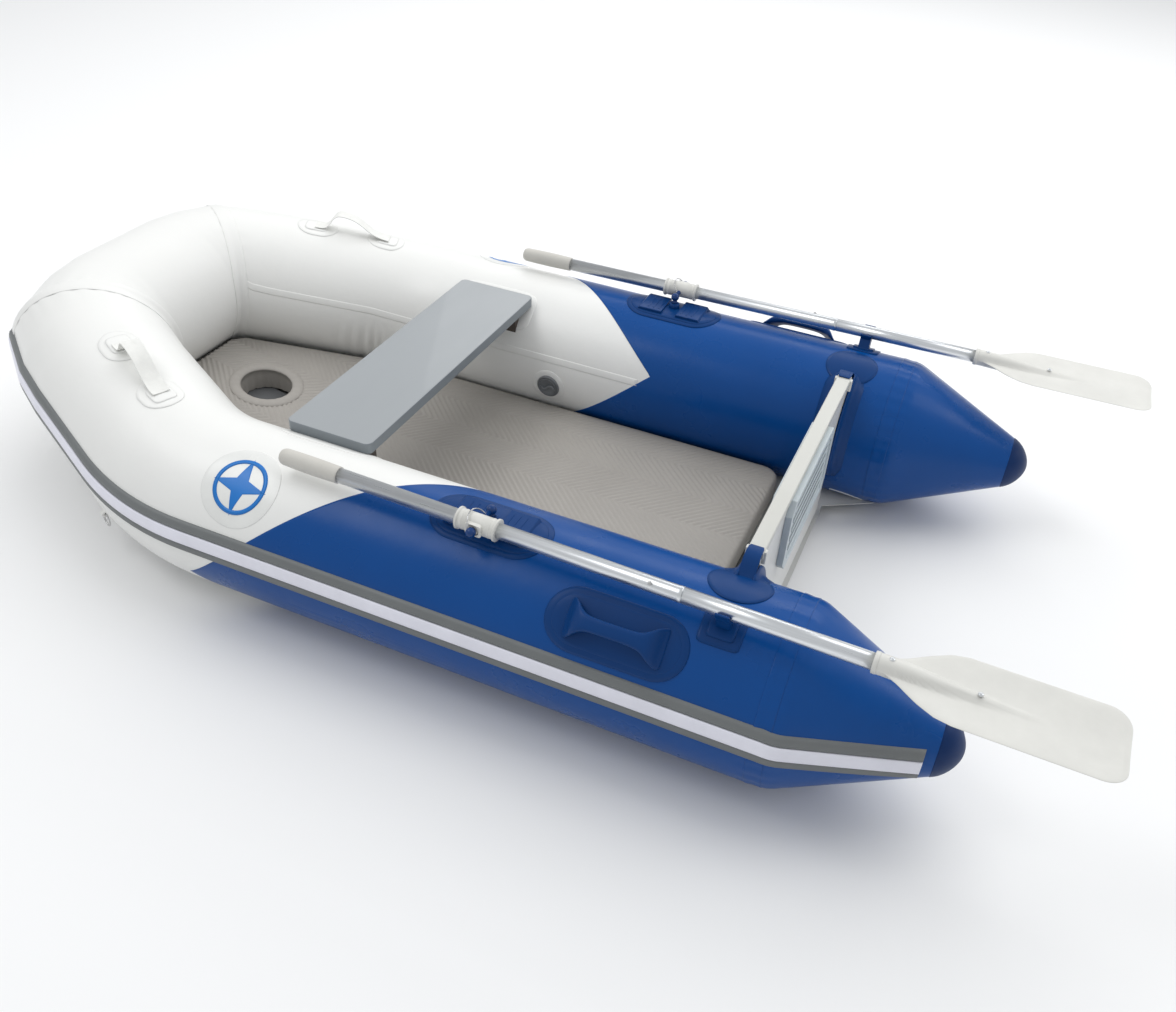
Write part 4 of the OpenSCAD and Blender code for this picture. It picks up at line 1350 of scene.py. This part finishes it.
def strapPieces():
    for name, sign in bothSides:
        s0 = sOfX((bendAt - quarterWay * bowStrap["along"]).x)
        rise = bowStrap["rise"]
        # lies flat, stands up near the fore foot and slopes back to the aft one
        path = []
        for k in range(61):
            a = -0.100 + 0.200 * k / 60
            up = 0.5 + 0.5 * math.tanh((a + 0.058) / 0.012)
            back = 0.5 - 0.5 * math.tanh((a - 0.030) / 0.034)
            path.append((a, 0.0035 + (rise - 0.003) * up * back ** 0.9))
        loops = []
        for a, h in path:
            # a slight dish across the webbing
            out = (onTube(s0 + a, 0) - onTube(s0 + a, math.pi)).normalized()
            p = onTube(s0 + a, math.pi / 2, h)
            up = (onTube(s0 + a, math.pi / 2, h + 0.01) - p).normalized()
            ring = []
            for k in (-1, -0.5, 0, 0.5, 1):
                ring.append(p + out * (k * bowStrap["width"] / 2) + up * (0.0012 * k * k))
            thick = up * bowStrap["thick"]
            ring += [q + thick for q in ring[::-1]]
            loops.append([(q.x, q.y * sign, q.z) for q in ring])
        soften(loft("strapWeb_" + name, loops, "webbing", replaced=["bow_strap_" + name]), 0.0005,
               2, 50)
        for part, k in (("Fore", -1), ("Aft", 1)):
            patch("strapPatch%s_%s" % (part, name), sign, s0 + k * bowStrap["foot"], 90,
                  oval(0.108, 0.090), 0.0016, "whiteCloth", 8)
            patch("strapFoot%s_%s" % (part, name), sign, s0 + k * (bowStrap["foot"] + 0.004), 90,
                  squircle(0.058, 0.052, 5), 0.0026, "whiteCloth", 6, lift=0.0016)
    print("straps laid")


strapPieces()


def towPieces():
    for name, sign in bothSides:
        low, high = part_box("tow_ring_" + name)
        middle = (low + high) / 2
        way = Vector((quarterWay.x, quarterWay.y * sign, quarterWay.z))
        out = Vector((-way.y, way.x, 0)).normalized()
        up = way.cross(out)
        points = [middle + (way * math.cos(a) + up * math.sin(a)) * 0.018
                  for a in (2 * math.pi * k / 48 for k in range(48))]
        barAlong(points, 0.002, "towRing_" + name, "wire", "tow_ring_" + name, ["tow_ring_" + name],
                 12, True)
        s = sOfX((bendAt - quarterWay * 0.112).x)
        patch("towPatch_" + name, sign, s, -32, oval(0.086, 0.066), 0.0014, "whiteCloth", 7)
    print("tow rings laid")


towPieces()

valve = {"back": 1.187, "angle": 187}


def valvePieces():
    for name, sign in bothSides:
        put = radialPlace(cadLow.x + valve["back"], valve["angle"], sign)
        s = sOfX(cadLow.x + valve["back"])
        patch("valvePatch_" + name, sign, s, valve["angle"], oval(0.0901, 0.090), 0.0009,
              "whiteCloth", 6)
        lathe([(tubeR - 0.003, 0.0310), (tubeR + 0.0030, 0.0310), (tubeR + 0.0048, 0.0300),
               (tubeR + 0.0054, 0.0285), (tubeR + 0.0054, 0.0262), (tubeR + 0.0044, 0.0256),
               (tubeR + 0.0023, 0.0255), (tubeR + 0.0023, 0.0001)], lambda t, a, b: put(a, b, t),
              "valveRing_" + name, "valveGrey", replaced=["valve_body_" + name], sides=64)
        body = "valve_cap_" + name
        base = tubeR + 0.0026
        profile = [(base, 0.0248), (base + 0.0034, 0.0248), (base + 0.0044, 0.0240),
                   (base + 0.0044, 0.0215), (base + 0.0030, 0.0205), (base + 0.0030, 0.0001)]
        lathe(profile, lambda t, a, b: put(a, b, t), "valveCap_" + name, "valveGrey", body,
              ["valve_cap_" + name], 64)
        points = []
        for i in range(25):
            k = i / 24 * 2 - 1
            points.append(put(0.0195 * k, 0.0065 * math.sin(math.pi * k), base + 0.0052))
        barAlong(points, 0.0030, "capGrip_" + name, "valveGrey", body)
    print("valves laid")


valvePieces()


# ---- CAD parts that keep their own shape

def refinish(finish, *names):
    for n in names:
        mesh = frame["nodes"][n].data
        mesh.materials.clear()
        mesh.materials.append(finishes[finish])


refinish("bottomCloth", "bottom_skin")
refinish("keelCloth", "keel_tube")
refinish("boardPaint", "transom_board")
# seat brackets: dark rubber, partly painted shade under the seat's end
refinish("darkRubber", *pair("seat_bracket"))
refinish("webbing", *pair("tow_eye"))


# ---- floor and light

# lamps: place, aim, size, power
studio = {"floor": 0.86, "sky": 0.62, "skyTint": (0.96, 0.98, 1.0), "reach": 14,
          "lamps": {"keyBox": ((-2.6, -1.4, 4.4), (0, 0, 0.2), (2.4, 2.0), 50),
                    "topBox": ((0.2, 3.0, 6.5), (0.1, 1.2, 0.2), (8.0, 7.0), 270),
                    "backBox": ((0.0, 5.4, 3.6), (0, 0, 0.3), (7.0, 1.3), 60),
                    "rimBox": ((3.6, 1.6, 2.4), (0.4, 0, 0.3), (1.2, 2.6), 22)}}


def makeFloor():
    reach = studio["reach"]
    corners = [(-reach, -reach, 0), (reach, -reach, 0), (reach, reach, 0), (-reach, reach, 0)]
    mesh = bpy.data.meshes.new("studioFloor")
    mesh.from_pydata(corners, [], [(0, 1, 2, 3)])
    floor = bpy.data.objects.new("studioFloor", mesh)
    scene.collection.objects.link(floor)
    mesh.materials.append(newFinish("studioPaper", (studio["floor"],) * 3, 0.9, spec=0.1)[0])


def makeLights():
    world = bpy.data.worlds.new("studioSky")
    world.use_nodes = True
    sky = world.node_tree.nodes["Background"].inputs
    sky["Color"].default_value = (*studio["skyTint"], 1)
    sky["Strength"].default_value = studio["sky"]
    scene.world = world
    for name, (where, aim, size, power) in studio["lamps"].items():
        lamp = bpy.data.lights.new(name, "AREA")
        lamp.shape = "RECTANGLE"
        lamp.size, lamp.size_y = size
        lamp.energy = power
        obj = bpy.data.objects.new(name, lamp)
        scene.collection.objects.link(obj)
        obj.location = where
        obj.rotation_euler = (Vector(aim) - Vector(where)).to_track_quat("-Z", "Y").to_euler()
        # the broad overhead light would haze every gloss
        obj.visible_glossy = name != "topBox"


makeFloor()
makeLights()
# plain display of the colours, with no film curve
scene.view_settings.view_transform = "Standard"
